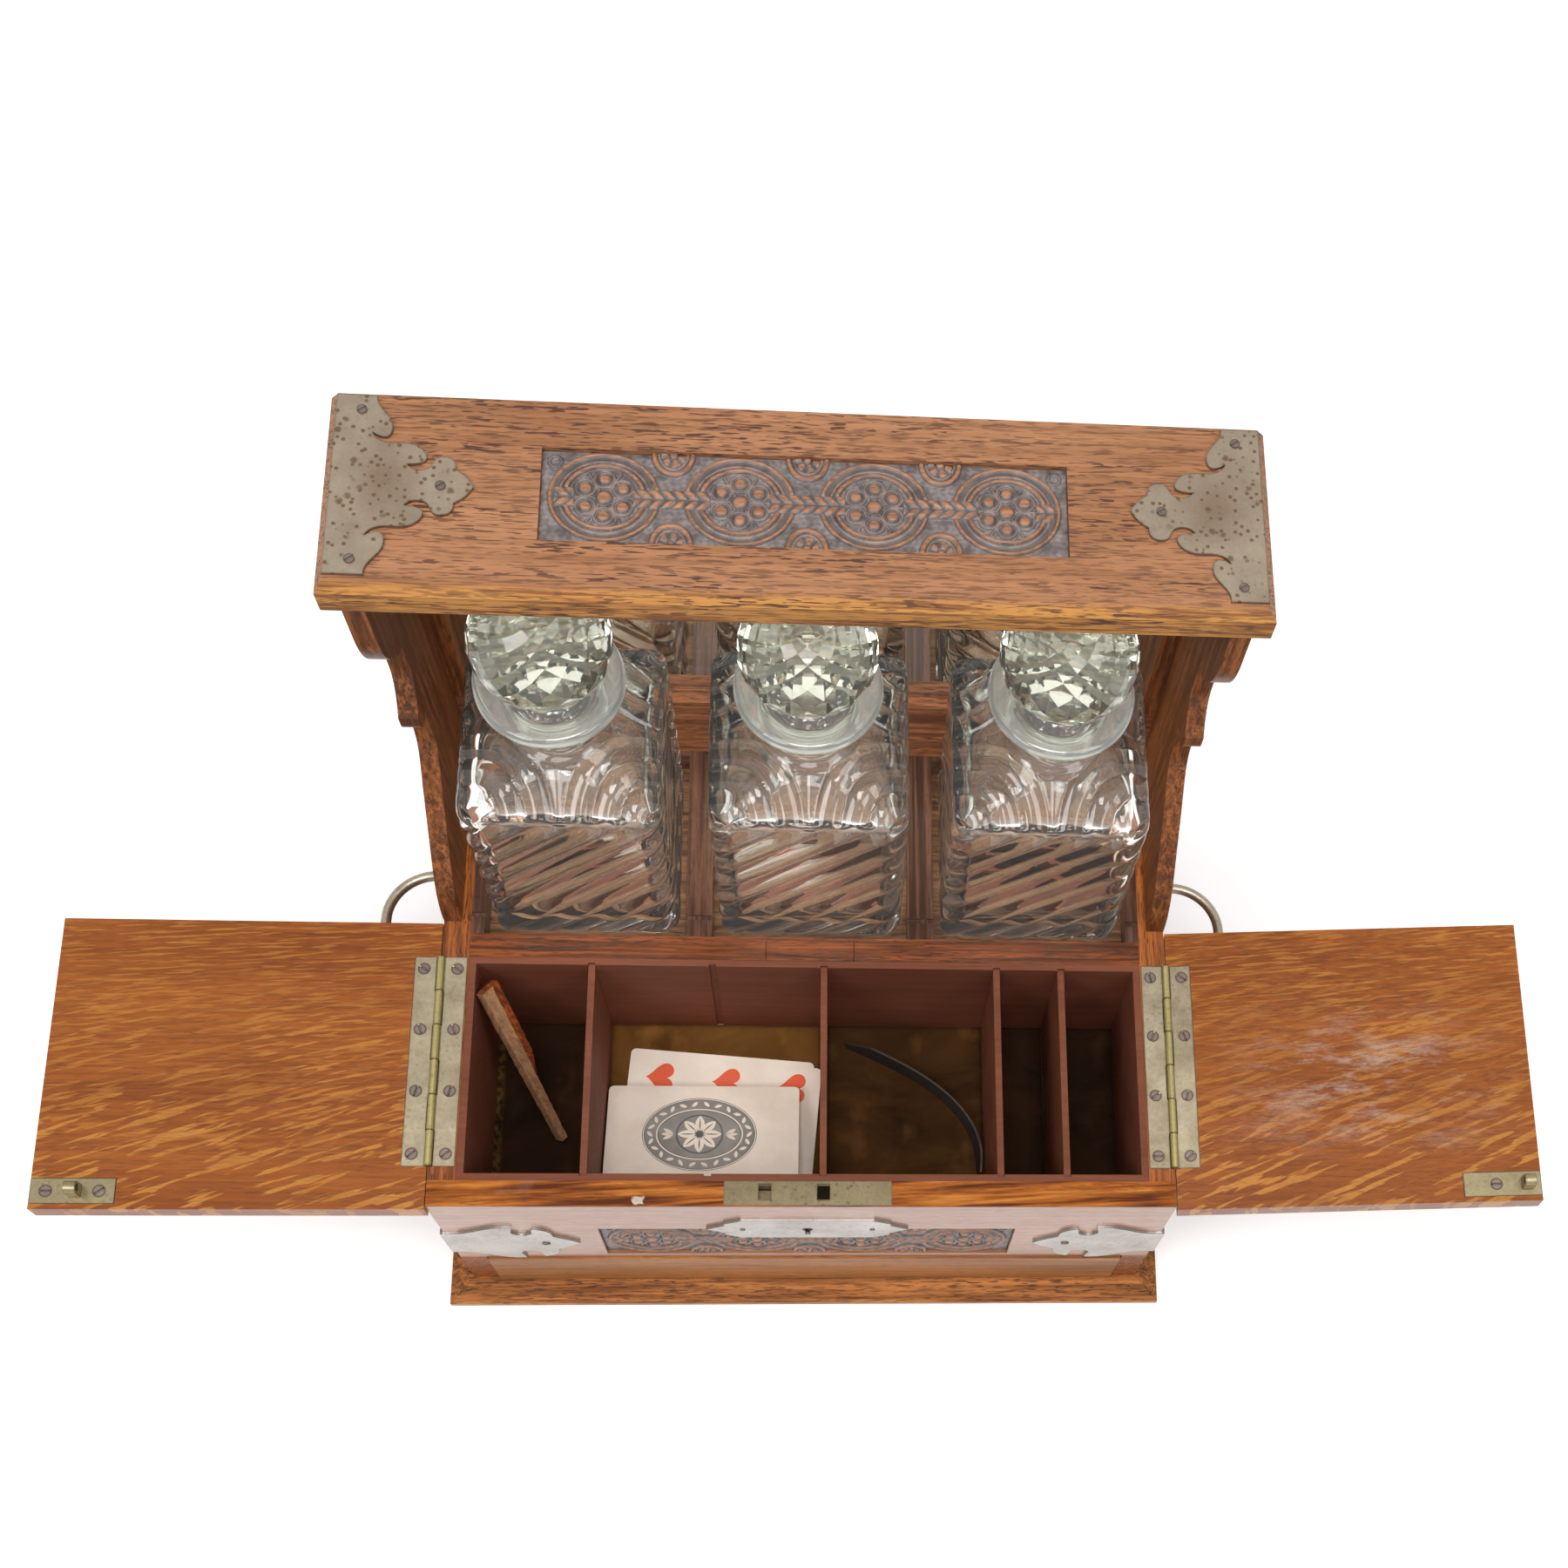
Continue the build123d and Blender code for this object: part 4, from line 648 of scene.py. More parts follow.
def decanter_rings():
    """Outer rings from the foot to the lip, then inner rings back down to the floor."""
    rings = []
    foot, shoulder = 0.1283, 0.2383
    levels = 84
    for k in range(levels + 1):
        t = k / levels
        z = foot + t * (shoulder - foot)
        fade = min(1.0, t / 0.03, (1.0 - t) / 0.02 + 0.25)
        edge = 0.0025 * max(0.0, 1.0 - t / 0.02) ** 2
        ring = []
        for x, y, nx, ny, share in square_ring(BODY_HALF - edge, 0.0075):
            climb = z / RIB_PITCH - share * RIB_COUNT
            depth = (1.0 - rib(climb)) * RIB_DEPTH * fade
            ring.append((x - nx * depth, y - ny * depth, z))
        rings.append(ring)
    inner = BODY_HALF - EDGE_RADIUS
    turn_half = inner + EDGE_RADIUS * math.cos(EDGE_TURN)
    turn_rise = EDGE_RADIUS * math.sin(EDGE_TURN)
    turns, slopes = 9, 34
    path = []
    for k in range(1, turns + 1):
        a = EDGE_TURN * k / turns
        path.append((inner + EDGE_RADIUS * math.cos(a), EDGE_RADIUS * math.sin(a), a))
    for k in range(1, slopes + 1):
        t = k / slopes
        half = turn_half + t * (NECK_FOOT - turn_half)
        path.append((half, turn_rise + t * (SHOULDER_RISE - turn_rise), EDGE_TURN))
    for half, rise, lean in path:
        inward = (BODY_HALF - half) / (BODY_HALF - NECK_FOOT)
        corner = min(0.0075 + 0.0119 * inward ** 1.3, half - 0.0001)
        ring = []
        for x, y, nx, ny, share in square_ring(half, corner):
            reach = math.hypot(BODY_HALF - abs(x), BODY_HALF - abs(y))
            if reach < RING_REACH:
                hollow = (1.0 - rib((reach - RING_FIRST) / RING_PITCH + 0.5)) * RING_DEPTH
            else:
                hollow = RING_DEPTH * (1.0 - 0.6 * min(1.0, (reach - RING_REACH) / 0.007))
            hollow *= min(1.0, 0.35 + inward * 9.0, (half - NECK_FOOT) / 0.003)
            side, up = hollow * math.cos(lean), hollow * math.sin(lean)
            ring.append((x - nx * side, y - ny * side, shoulder + rise - up))
        rings.append(ring)
    profile = [
        (0.0180, 0.2545), (0.0171, 0.2565), (0.0170, 0.2590), (0.0170, 0.2700), (0.0174, 0.2735),
        (0.0186, 0.2762), (0.0210, 0.2782), (0.0250, 0.2793), (0.0280, 0.2799), (0.0294, 0.2810),
        (0.0300, 0.2826), (0.0299, 0.2842), (0.0288, 0.2856), (0.0270, 0.2860), (0.0210, 0.2852),
        (0.0150, 0.2850), (0.0122, 0.2852), (0.0113, 0.2840), (0.0110, 0.2700), (0.0110, 0.2570),
    ]
    start = square_ring(1.0, 0.999)
    for radius, z in profile:
        rings.append([(nx * radius, ny * radius, z) for _, _, nx, ny, _ in start])
    for half, corner, z in (
        (0.0150, 0.0148, 0.2520), (0.0240, 0.0180, 0.2478), (0.0330, 0.0120, 0.2405),
        (0.0364, 0.0070, 0.2330), (0.0366, 0.0060, 0.2200), (0.0366, 0.0060, 0.1900),
        (0.0366, 0.0060, 0.1600), (0.0364, 0.0060, 0.1440), (0.0350, 0.0070, 0.1392),
        (0.0300, 0.0090, 0.1376), (0.0150, 0.0100, 0.1372),
    ):
        rings.append([(x, y, z) for x, y, _, _, _ in square_ring(half, corner)])
    return rings


def decanter_mesh():
    rings = decanter_rings()
    verts = [point for ring in rings for point in ring]
    return verts, loft_faces(len(rings), AROUND)


def facet_latitudes(first, second, half_pitch, limit):
    """Latitudes whose kites are flat: each next row ends the line through the two before it."""
    rows = [first, second]
    while rows[-1] < limit:
        low, middle = rows[-2], rows[-1]
        bx, bz = math.cos(low), math.sin(low)
        dx, dz = math.cos(middle) * math.cos(half_pitch) - bx, math.sin(middle) - bz
        reach = -2 * (bx * dx + bz * dz) / (dx * dx + dz * dz)
        rows.append(math.atan2(bz + reach * dz, bx + reach * dx))
    return rows


def stopper_mesh():
    """Ball cut in rows of flat kite-shaped facets, on a round plug."""
    count = 14
    centre, radius, squash = 0.3128, 0.0279, 0.94
    plug = ((0.0104, 0.2655), (0.0108, 0.2700), (0.0108, 0.2862))
    half_pitch = math.pi / count
    upper = facet_latitudes(0.0, half_pitch, half_pitch, math.radians(64))
    latitudes = [-a for a in reversed(upper[1:])] + upper
    rings = [(r, z, 0.0) for r, z in plug]
    for number, a in enumerate(latitudes):
        stagger = 0.5 * (number % 2)
        rings.append((radius * math.cos(a), centre + radius * squash * math.sin(a), stagger))
    verts = []
    for r, z, stagger in rings:
        for i in range(count):
            a = 2 * math.pi * (i + stagger) / count
            verts.append((r * math.cos(a), r * math.sin(a), z))
    faces = loft_faces(len(plug) + 1, count, (True, False))
    first = len(plug)
    for row in range(first, len(rings) - 2):
        low, middle, high = (count * k for k in (row, row + 1, row + 2))
        step = 1 if rings[row][2] else 0
        for i in range(count):
            left, right = (i + step - 1) % count, (i + step) % count
            faces.append((low + i, middle + right, high + i, middle + left))
    bottom, second = count * first, count * (first + 1)
    for i in range(count):
        faces.append((bottom + i, bottom + (i + 1) % count, second + i))
    last, under = count * (len(rings) - 1), count * (len(rings) - 2)
    step = 1 if rings[-1][2] else 0
    for i in range(count):
        faces.append((last + i, under + (i + step) % count, last + (i + 1) % count))
    faces.append(tuple(range(last, last + count)))
    return verts, faces


def make_glass():
    bottle = decanter_mesh()
    ball = stopper_mesh()
    for x, side in zip(DECANTER_X, ("left", "centre", "right")):
        verts = [(x + vx, DECANTER_Y + vy, vz) for vx, vy, vz in bottle[0]]
        decanter = mesh_piece(
            "cut_decanter_" + side, verts, bottle[1], decanter_glass, "bottle_" + side,
            ("decanter_" + side,),
        )
        verts = [(x + vx, DECANTER_Y + vy, vz) for vx, vy, vz in ball[0]]
        stopper = mesh_piece(
            "cut_stopper_" + side, verts, ball[1], stopper_glass, "ball_" + side,
            ("stopper_" + side,), smooth=False,
        )
        decanter.data.materials.append(collar_glass)
        for face in decanter.data.polygons:
            face.material_index = 1 if face.center.z > COLLAR_FOOT else 0
        decanter.visible_shadow = False
        stopper.visible_shadow = False


# ---------------------------------------------------------------- carving
def ridge(distance, width):
    return np.clip(1.0 - (np.abs(distance) / width) ** 2, 0.0, 1.0) ** 0.5


def boss(distance, radius):
    """A low button with a worn, nearly flat top."""
    return np.clip((radius - distance) / (0.45 * radius), 0.0, 1.0) ** 0.6


ROUNDELS = 4
FIRST_ROUNDEL = 0.1178
RING_RADII = ((18.0, 0.75, 0.95), (15.1, 0.55, 0.70), (13.3, 0.80, 0.95))
PETAL_PLACE, PETAL_BOSS, PETAL_RIM = 7.7, 2.45, 3.5
HEART_BOSS = 3.0
ROPE_ROW, ROPE_STEP, ROPE_START = 2.1, 4.2, 10.6
LUNETTE_HALF, LUNETTE_DEPTH = 7.9, 9.6


def carving_height(width, height, step):
    """Relief of the carved strapwork, 0 to 1, on a grid centred on the panel."""
    nx, ny = int(round(width / step)) + 1, int(round(height / step)) + 1
    x, y = np.meshgrid(np.linspace(-width / 2, width / 2, nx), np.linspace(-height / 2, height / 2, ny))
    px = x / MM
    half = height / 2 / MM
    py = y / MM * 19.4 / half
    first = (FIRST_ROUNDEL - 0.5) * width / MM
    pitch = -2 * first / (ROUNDELS - 1)
    number = np.clip(np.round((px - first) / pitch), 0, ROUNDELS - 1)
    dx = px - first - number * pitch
    r = np.hypot(dx / 1.07, py)
    relief = np.where((r > 15.1) & (r < 18.0), 0.30, 0.0)
    for radius, thick, top in RING_RADII:
        relief = np.maximum(relief, ridge(r - radius, thick) * top)
    for k in range(6):
        a = math.radians(60 * k + 30)
        d = np.hypot(dx - PETAL_PLACE * math.cos(a), py - PETAL_PLACE * math.sin(a))
        relief = np.maximum(relief, ridge(d - PETAL_RIM, 0.55) * 0.62)
        relief = np.where(d < PETAL_RIM - 0.4, boss(d, PETAL_BOSS) * 0.95, relief)
        spoke = math.radians(60 * k)
        across = np.abs(-dx * math.sin(spoke) + py * math.cos(spoke))
        along = dx * math.cos(spoke) + py * math.sin(spoke)
        relief = np.where(
            (along > HEART_BOSS) & (along < 12.0), np.maximum(relief, ridge(across, 0.5) * 0.6), relief
        )
    relief = np.where(np.hypot(dx, py) < HEART_BOSS + 0.3, boss(np.hypot(dx, py), HEART_BOSS), relief)
    middle = px - first - (np.floor((px - first) / pitch) + 0.5) * pitch
    for edge in (-1, 1):
        fy = py - edge * 19.4
        fr = np.hypot(middle / LUNETTE_HALF, fy / LUNETTE_DEPTH)
        angle = np.arctan2(-edge * fy, middle)
        rosette = np.maximum(ridge(fr - 0.88, 0.13) * 0.92, ridge(fr - 0.66, 0.06) * 0.7)
        gouge = np.abs(np.sin(3.5 * angle)) ** 0.7 * 0.8
        rosette = np.where((fr < 0.58) & (fr > 0.26), gouge, rosette)
        rosette = np.maximum(rosette, boss(fr, 0.22) * 0.9)
        relief = np.where((fr < 1.01) & (r > 18.4), np.maximum(relief, rosette), relief)
        hook = np.hypot(np.abs(px) - (width / 2 / MM - 4.6), py - edge * 14.8)
        relief = np.where((np.abs(px) > 3 * pitch / 2) & (r > 18.8), ridge(hook - 2.2, 0.6) * 0.5, relief)
    lobes = np.abs(np.sin(np.pi * (px + 0.85 * np.abs(py)) / ROPE_STEP)) ** 0.8
    rope = lobes * np.clip(1.0 - ((np.abs(py) - ROPE_ROW) / 2.0) ** 2, 0.0, 1.0) ** 0.5
    inner = width / 2 / MM - 5.0
    roped = (np.abs(py) < 4.1) & (np.abs(dx) > ROPE_START) & (np.abs(px) < inner)
    relief = np.where(roped, 0.12 + 0.86 * rope, relief)
    tool = 0.5 + 0.25 * np.sin(px * 2.3 + 1.7 * np.sin(py)) + 0.25 * np.sin(py * 2.9 + np.sin(px * 1.3))
    return x, y, np.clip(relief + 0.09 * tool * (relief < 0.3), 0.0, 1.0)


def carved_piece(name, width, height, place, material, low, high, node):
    """Carved slab; place turns panel x, y and height into a point."""
    x, y, relief = carving_height(width, height, 0.36 * MM)
    rows, columns = x.shape
    z = low + relief * (high - low)
    verts = [place(px, py, pz) for px, py, pz in zip(x.ravel(), y.ravel(), z.ravel())]
    faces = []
    for j in range(rows - 1):
        for i in range(columns - 1):
            a = j * columns + i
            faces.append((a, a + 1, a + columns + 1, a + columns))
    rim = [i for i in range(columns)]
    rim += [j * columns + columns - 1 for j in range(1, rows)]
    rim += [(rows - 1) * columns + i for i in range(columns - 2, -1, -1)]
    rim += [j * columns for j in range(rows - 2, 0, -1)]
    start = len(verts)
    for index in rim:
        verts.append(place(x.ravel()[index], y.ravel()[index], 0.0))
    count = len(rim)
    for i in range(count):
        j = (i + 1) % count
        faces.append((rim[i], start + i, start + j, rim[j]))
    faces.append(tuple(range(start + count - 1, start - 1, -1)))
    return mesh_piece(name, verts, faces, material, "case", (node,))


def carved_material():
    """Oak under grey dust, worn to bright brown on the high places, with painted shade on the carving's low
    flanks.
    """
    g = Graph("carved_oak")
    streak = g.noise(g.stretched("XYZ", (60.0, 900.0, 900.0)), detail=3.0)
    worn = g.mix(g.ramp(streak, ((0.35, 0.0), (0.65, 1.0))), (0.20, 0.085, 0.045), (0.46, 0.20, 0.085))
    dust = g.noise(g.stretched("XYZ", (230.0, 230.0, 230.0)), detail=4.0)
    ground = g.mix(g.ramp(dust, ((0.32, 0.0), (0.66, 1.0))), (0.085, 0.068, 0.066), (0.27, 0.23, 0.215))
    relief = g.add("ShaderNodeAttribute", attribute_name="relief", attribute_type="GEOMETRY")
    ragged = g.math("MULTIPLY_ADD", dust, 0.5)
    g.feed(ragged.node.inputs[2], g.math("SUBTRACT", relief.outputs["Fac"], 0.25))
    colour = g.mix(g.ramp(ragged, ((0.52, 0.0), (0.80, 1.0))), ground, worn)
    # Painted shade: the low flanks of the carving, where its shade falls, are darkened.
    painted_cut_shade = g.ramp(relief.outputs["Fac"], ((0.02, 0.0), (0.14, 0.75), (0.34, 0.6), (0.55, 0.0)))
    colour = g.mix(painted_cut_shade, colour, (0.050, 0.034, 0.030))
    g.set(Base_Color=colour, Roughness=0.5, Coat_Weight=0.15, Coat_Roughness=0.25)
    g.bump(dust, 0.3, 0.0003)
    return g.material


def add_relief_attribute(obj, depth_of, low, high):
    attribute = obj.data.attributes.new("relief", "FLOAT", "POINT")
    co = np.zeros(len(obj.data.vertices) * 3)
    obj.data.vertices.foreach_get("co", co)
    value = (depth_of(co.reshape(-1, 3)) - low) / (high - low)
    attribute.data.foreach_set("value", np.clip(value, 0, 1).astype(np.float32))


def make_carvings():
    oak = carved_material()
    (ax, ay, az), (bx, by, bz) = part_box("canopy_carving")
    cx, cy = (ax + bx) / 2, (ay + by) / 2
    low, high = 0.4 * MM, 2.0 * MM
    top = carved_piece(
        "carved_canopy", bx - ax, by - ay, lambda x, y, z: (cx + x, cy + y, az + z), oak, low, high,
        "canopy_carving",
    )
    add_relief_attribute(top, lambda p: p[:, 2] - az, low, high)
    (ax, ay, az), (bx, by, bz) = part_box("front_carving")
    fx, fz = (ax + bx) / 2, (az + bz) / 2
    face = carved_piece(
        "carved_front", bx - ax, bz - az, lambda x, y, z: (fx + x, by - z, fz + y), oak, low, high,
        "front_carving",
    )
    add_relief_attribute(face, lambda p: by - p[:, 1], low, high)


# ---------------------------------------------------------------- velvet
def turn_up_edge(verts, nx, rng):
    """The first pad's left edge has come away and stands up in ragged tufts."""
    for start in range(0, len(verts), nx):
        height = 0.0022 + 0.0018 * rng.random()
        for column, share in ((0, 1.0), (1, 0.25)):
            x, y, z = verts[start + column]
            verts[start + column] = (x, y, z + height * share)


def make_velvet():
    """Pads with an uneven nap and soft edges, one in each compartment, in lit and shaded copies of one velvet.
    """
    (_, ay, az), (_, by, bz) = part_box("velvet_floor")
    places = (-0.1497, -0.10015, -0.09685, 0.00485, 0.00815, 0.08435, 0.08765, 0.11435, 0.11765, 0.1497)
    rng = np.random.default_rng(5)
    for number, (x0, x1) in enumerate(zip(places[0::2], places[1::2]), start=1):
        # painted shade: pad 2 gets the lit velvet, pad 3 a half-shaded copy, the others the darkest copy
        pile = {2: velvet_gold, 3: velvet_painted_half_shade}.get(number, velvet_painted_shade)
        nx, ny = max(8, int((x1 - x0) / 0.002)), 50
        xs, ys = np.linspace(x0, x1, nx), np.linspace(ay, by, ny)
        verts, faces = [], []
        wave = rng.uniform(0, 6, 4)
        for y in ys:
            for x in xs:
                edge = min(x - x0, x1 - x, y - ay, by - y)
                nap = 0.00015 * math.sin(90 * x + wave[0]) * math.sin(70 * y + wave[1])
                nap += 0.00008 * math.sin(400 * x + wave[2]) * math.sin(330 * y + wave[3])
                drop = 0.0007 * max(0.0, 1.0 - edge / 0.002) ** 2
                verts.append((x, y, bz - 0.00025 + nap - drop))
        for j in range(ny - 1):
            for i in range(nx - 1):
                a = j * nx + i
                faces.append((a, a + 1, a + nx + 1, a + nx))
        rim = list(range(nx)) + [j * nx + nx - 1 for j in range(1, ny)]
        rim += [(ny - 1) * nx + i for i in range(nx - 2, -1, -1)]
        rim += [j * nx for j in range(ny - 2, 0, -1)]
        start = len(verts)
        if number == 1:
            turn_up_edge(verts, nx, rng)
        verts += [(verts[i][0], verts[i][1], az) for i in rim]
        for i in range(len(rim)):
            j = (i + 1) % len(rim)
            faces.append((rim[i], start + i, start + j, rim[j]))
        faces.append(tuple(range(start + len(rim) - 1, start - 1, -1)))
        pad = mesh_piece(
            f"velvet_pad_{number}", verts, faces, pile, "case", ("velvet_floor",)
        )


# ---------------------------------------------------------------- playing cards
CARD_WIDTH, CARD_HEIGHT, CARD_CORNER = 0.0890, 0.0635, 0.0025


def card_outline(width=CARD_WIDTH, height=CARD_HEIGHT, corner=CARD_CORNER, steps=5):
    points = []
    for cx, cy, first in ((1, 1, 0), (-1, 1, 90), (-1, -1, 180), (1, -1, 270)):
        for k in range(steps):
            a = math.radians(first + 90 * k / (steps - 1))
            points.append(
                (
                    cx * (width / 2 - corner) + corner * math.cos(a),
                    cy * (height / 2 - corner) + corner * math.sin(a),
                )
            )
    return points


def plate_mesh(outline, thickness):
    count = len(outline)
    verts = [(x, y, 0.0) for x, y in outline] + [(x, y, thickness) for x, y in outline]
    return verts, loft_faces(2, count)


def placed(verts, matrix):
    return [tuple(matrix @ Vector(v)) for v in verts]


def heart_outline(size):
    """A plain heart pip, pointing to -x."""
    points = []
    for k in range(36):
        t = 2 * math.pi * k / 36
        across = 16 * math.sin(t) ** 3
        along = 13 * math.cos(t) - 5 * math.cos(2 * t) - 2 * math.cos(3 * t) - math.cos(4 * t)
        points.append((along * size / 32, -across * size / 32))
    return points


def oval(radii, count=96, teeth=0, depth=0.0):
    """Points round an oval, plain or scalloped."""
    points = []
    for k in range(count):
        a = 2 * math.pi * k / count
        grow = 1.0 + depth * math.cos(teeth * a)
        points.append((radii[0] * grow * math.cos(a), radii[1] * grow * math.sin(a)))
    return points


def printed(name, matrix, outline, material, layer, hole=None):
    """A flat printed shape or band, a hair above the card, later layers higher."""
    lift = PRINT_LIFT * (layer + 1)
    count = len(outline)
    verts = [(x, y, lift) for x, y in outline]
    faces = [tuple(range(count))]
    if hole:
        verts += [(x, y, lift) for x, y in hole]
        faces = [(k, (k + 1) % count, count + (k + 1) % count, count + k) for k in range(count)]
    return mesh_piece(name, placed(verts, matrix), faces, material, "loose_pack", smooth=False)


def leaf_outline(length, width, count=14):
    """A pointed leaf lying along +x from the origin."""
    points = []
    for k in range(count):
        t = k / count
        points.append((t * length, width * math.sin(math.pi * t) ** 0.8))
    for k in range(count):
        t = 1.0 - k / count
        points.append((t * length, -width * math.sin(math.pi * t) ** 0.8))
    return points[1:]


def turned(points, angle, shift=(0.0, 0.0)):
    c, sn = math.cos(angle), math.sin(angle)
    return [(x * c - y * sn + shift[0], x * sn + y * c + shift[1]) for x, y in points]


PRINT_LIFT = 0.000015
BAND_OUT, BAND_IN = (0.0262, 0.0200), (0.0205, 0.0145)


def print_ornament(top):
    """A generic oval ornament: a leafy band round a field with an eight-petal rosette."""
    printed("print_line", top, oval((0.0270, 0.0208)), print_dark, 0, oval((0.0267, 0.0205)))
    printed("print_band", top, oval(BAND_OUT), print_grey, 0, oval(BAND_IN))
    printed("print_field", top, oval((0.0198, 0.0138)), print_grey, 0)
    printed("print_band_edge", top, oval(BAND_OUT), print_dark, 1, oval((0.0259, 0.0197)))
    printed("print_field_edge", top, oval((0.0198, 0.0138)), print_dark, 1, oval((0.0194, 0.0134)))
    middle = ((BAND_OUT[0] + BAND_IN[0]) / 2, (BAND_OUT[1] + BAND_IN[1]) / 2)
    for k in range(26):
        a = 2 * math.pi * k / 26
        place = (middle[0] * math.cos(a), middle[1] * math.sin(a))
        lean = a + math.pi / 2 + (0.7 if k % 2 else -0.7)
        leaf = turned([(x - 0.0020, y) for x, y in leaf_outline(0.0040, 0.00085)], lean, place)
        printed(f"print_leaf_{k + 1}", top, leaf, card_cream, 2)
    printed("print_disc", top, oval((0.0112, 0.0112)), print_dark, 2, oval((0.0104, 0.0104)))
    for k in range(8):
        a = 2 * math.pi * k / 8
        petal = turned(leaf_outline(0.0088, 0.0022), a, (0.0016 * math.cos(a), 0.0016 * math.sin(a)))
        printed(f"print_petal_{k + 1}", top, petal, card_cream, 3)
        vein = turned(leaf_outline(0.0070, 0.0003), a, (0.0020 * math.cos(a), 0.0020 * math.sin(a)))
        printed(f"print_vein_{k + 1}", top, vein, print_dark, 4)
    printed("print_eye", top, oval((0.0017, 0.0017), 24), print_dark, 5)
    for side in (-1, 1):
        for k in range(3):
            spray = turned(leaf_outline(0.0058, 0.0009), math.pi / 2 * (1 - side) + 0.55 * (k - 1))
            spray = [(x + side * 0.0122, y) for x, y in spray]
            printed(f"print_spray_{(side + 1) // 2}_{k}", top, spray, card_cream, 3)


def make_cards():
    lean = math.radians(16.0)
    velvet_top = 0.067
    turn = math.radians(-4.5)
    flat = Matrix.Translation((-0.0868, -0.0193, velvet_top)) @ Matrix.Rotation(turn, 4, "Z")
    flat = flat @ Matrix.Translation((CARD_WIDTH / 2, -CARD_HEIGHT / 2, 0.0))
    lower = (("flat_card_1", 0.0, 0.0, 0.0002), ("flat_card_2", 0.0038, -0.0028, 0.0006))
    for name, dx, dy, lift in lower:
        matrix = flat @ Matrix.Translation((dx, dy, lift))
        verts, faces = plate_mesh(card_outline(), 0.00035)
        mesh_piece(
            name, placed(verts, matrix), faces, card_cream, "case", ("flat_cards",),
            smooth=False,
        )
    matrix = flat @ Matrix.Translation((0.0038, -0.0028, 0.00098))
    for k, px in enumerate((-0.0322, -0.0002, 0.0318), start=1):
        for row, py in enumerate((0.0205, -0.0205), start=1):
            verts = [(px + x, py + y, 0.0) for x, y in heart_outline(0.0150)]
            mesh_piece(
                f"heart_{row}_{k}", placed(verts, matrix), [tuple(range(36))], heart_red, "case",
                smooth=False,
            )
    foot = Matrix.Translation((-0.0950, -0.0426, velvet_top + 0.0015))
    leaning = foot @ Matrix.Rotation(-lean, 4, "X")
    leaning = leaning @ Matrix.Translation((0.089 / 2, -0.0635 / 2, 0.0))
    rng = np.random.default_rng(11)
    count = 13
    for k in range(count):
        lift = 0.0002 + k * 0.00043
        loose = 1.0 - k / (count - 1)
        dx = 0.0028 * loose * (0.4 + 0.6 * rng.random()) - 0.0003
        dy = 0.0010 * (rng.random() - 0.5)
        shrink = 0.0030 * loose
        matrix = leaning @ Matrix.Translation((dx / 2, dy, lift))
        verts, faces = plate_mesh(card_outline(CARD_WIDTH + 0.0018 - shrink, CARD_HEIGHT), 0.00032)
        material = card_cream if k in (count - 1, 4, 8) else card_edge
        mesh_piece(
            f"pack_card_{k + 1}", placed(verts, matrix), faces, material, "loose_pack",
            ("card_pack",), smooth=False,
        )
    top = leaning @ Matrix.Translation((-0.0001, 0.0, 0.0002 + (count - 1) * 0.00043 + 0.00034))
    print_ornament(top @ Matrix.Translation((-0.0015, 0.0040, 0.0)))


# ---------------------------------------------------------------- loose strip of wood
STRIP_LOW, STRIP_HIGH = Vector((-0.1157, -0.0641, 0.0701)), Vector((-0.1447, -0.0166, 0.1385))
STRIP_ROLL = math.radians(28)
STRIP_WIDTH, STRIP_THICK = 0.0105, 0.0045


def make_strip():
    """A broken strip of wood lying in the left compartment, split along its lower end."""
    along = (STRIP_HIGH - STRIP_LOW).normalized()
    wide = Vector((0.0, 0.0, 1.0)).cross(along).normalized()
    deep = along.cross(wide).normalized()
    wide, deep = (
        wide * math.cos(STRIP_ROLL) + deep * math.sin(STRIP_ROLL),
        deep * math.cos(STRIP_ROLL) - wide * math.sin(STRIP_ROLL),
    )
    rng = np.random.default_rng(21)
    steps = 40
    verts = []
    for k in range(steps + 1):
        t = k / steps
        centre = STRIP_LOW.lerp(STRIP_HIGH, t)
        rough = 0.00012 * rng.standard_normal(5)
        half = STRIP_THICK / 2
        left = STRIP_WIDTH / 2
        crest = left - STRIP_WIDTH * (0.34 + 0.26 * t)
        right = crest - STRIP_WIDTH * 0.40 * min(1.0, max(0.02, (t - 0.40) / 0.14))
        section = (
            (left, half * 0.9), (crest, half), (right, half * 0.75), (right, -half), (left, -half),
        )
        for number, (across, deep_by) in enumerate(section):
            verts.append(centre + wide * (across + rough[number]) + deep * deep_by)
    faces = loft_faces(steps + 1, 5)
    strip = mesh_piece(
        "split_strip", verts, faces, stick_edge, "case", ("loose_strip",), smooth=False
    )
    strip.data.materials.append(stick_face)
    for number, face in enumerate(strip.data.polygons):
        face.material_index = 1 if number % 5 == 1 else 0


SPRING_COURSE = ((0.0172, -0.0177), (0.0478, -0.0330), (0.0743, -0.0567), (0.0810, -0.0831))
SPRING_FOOT, SPRING_HEIGHT, SPRING_THICK, SPRING_LEAN = 0.0671, 0.0068, 0.0010, 0.0024


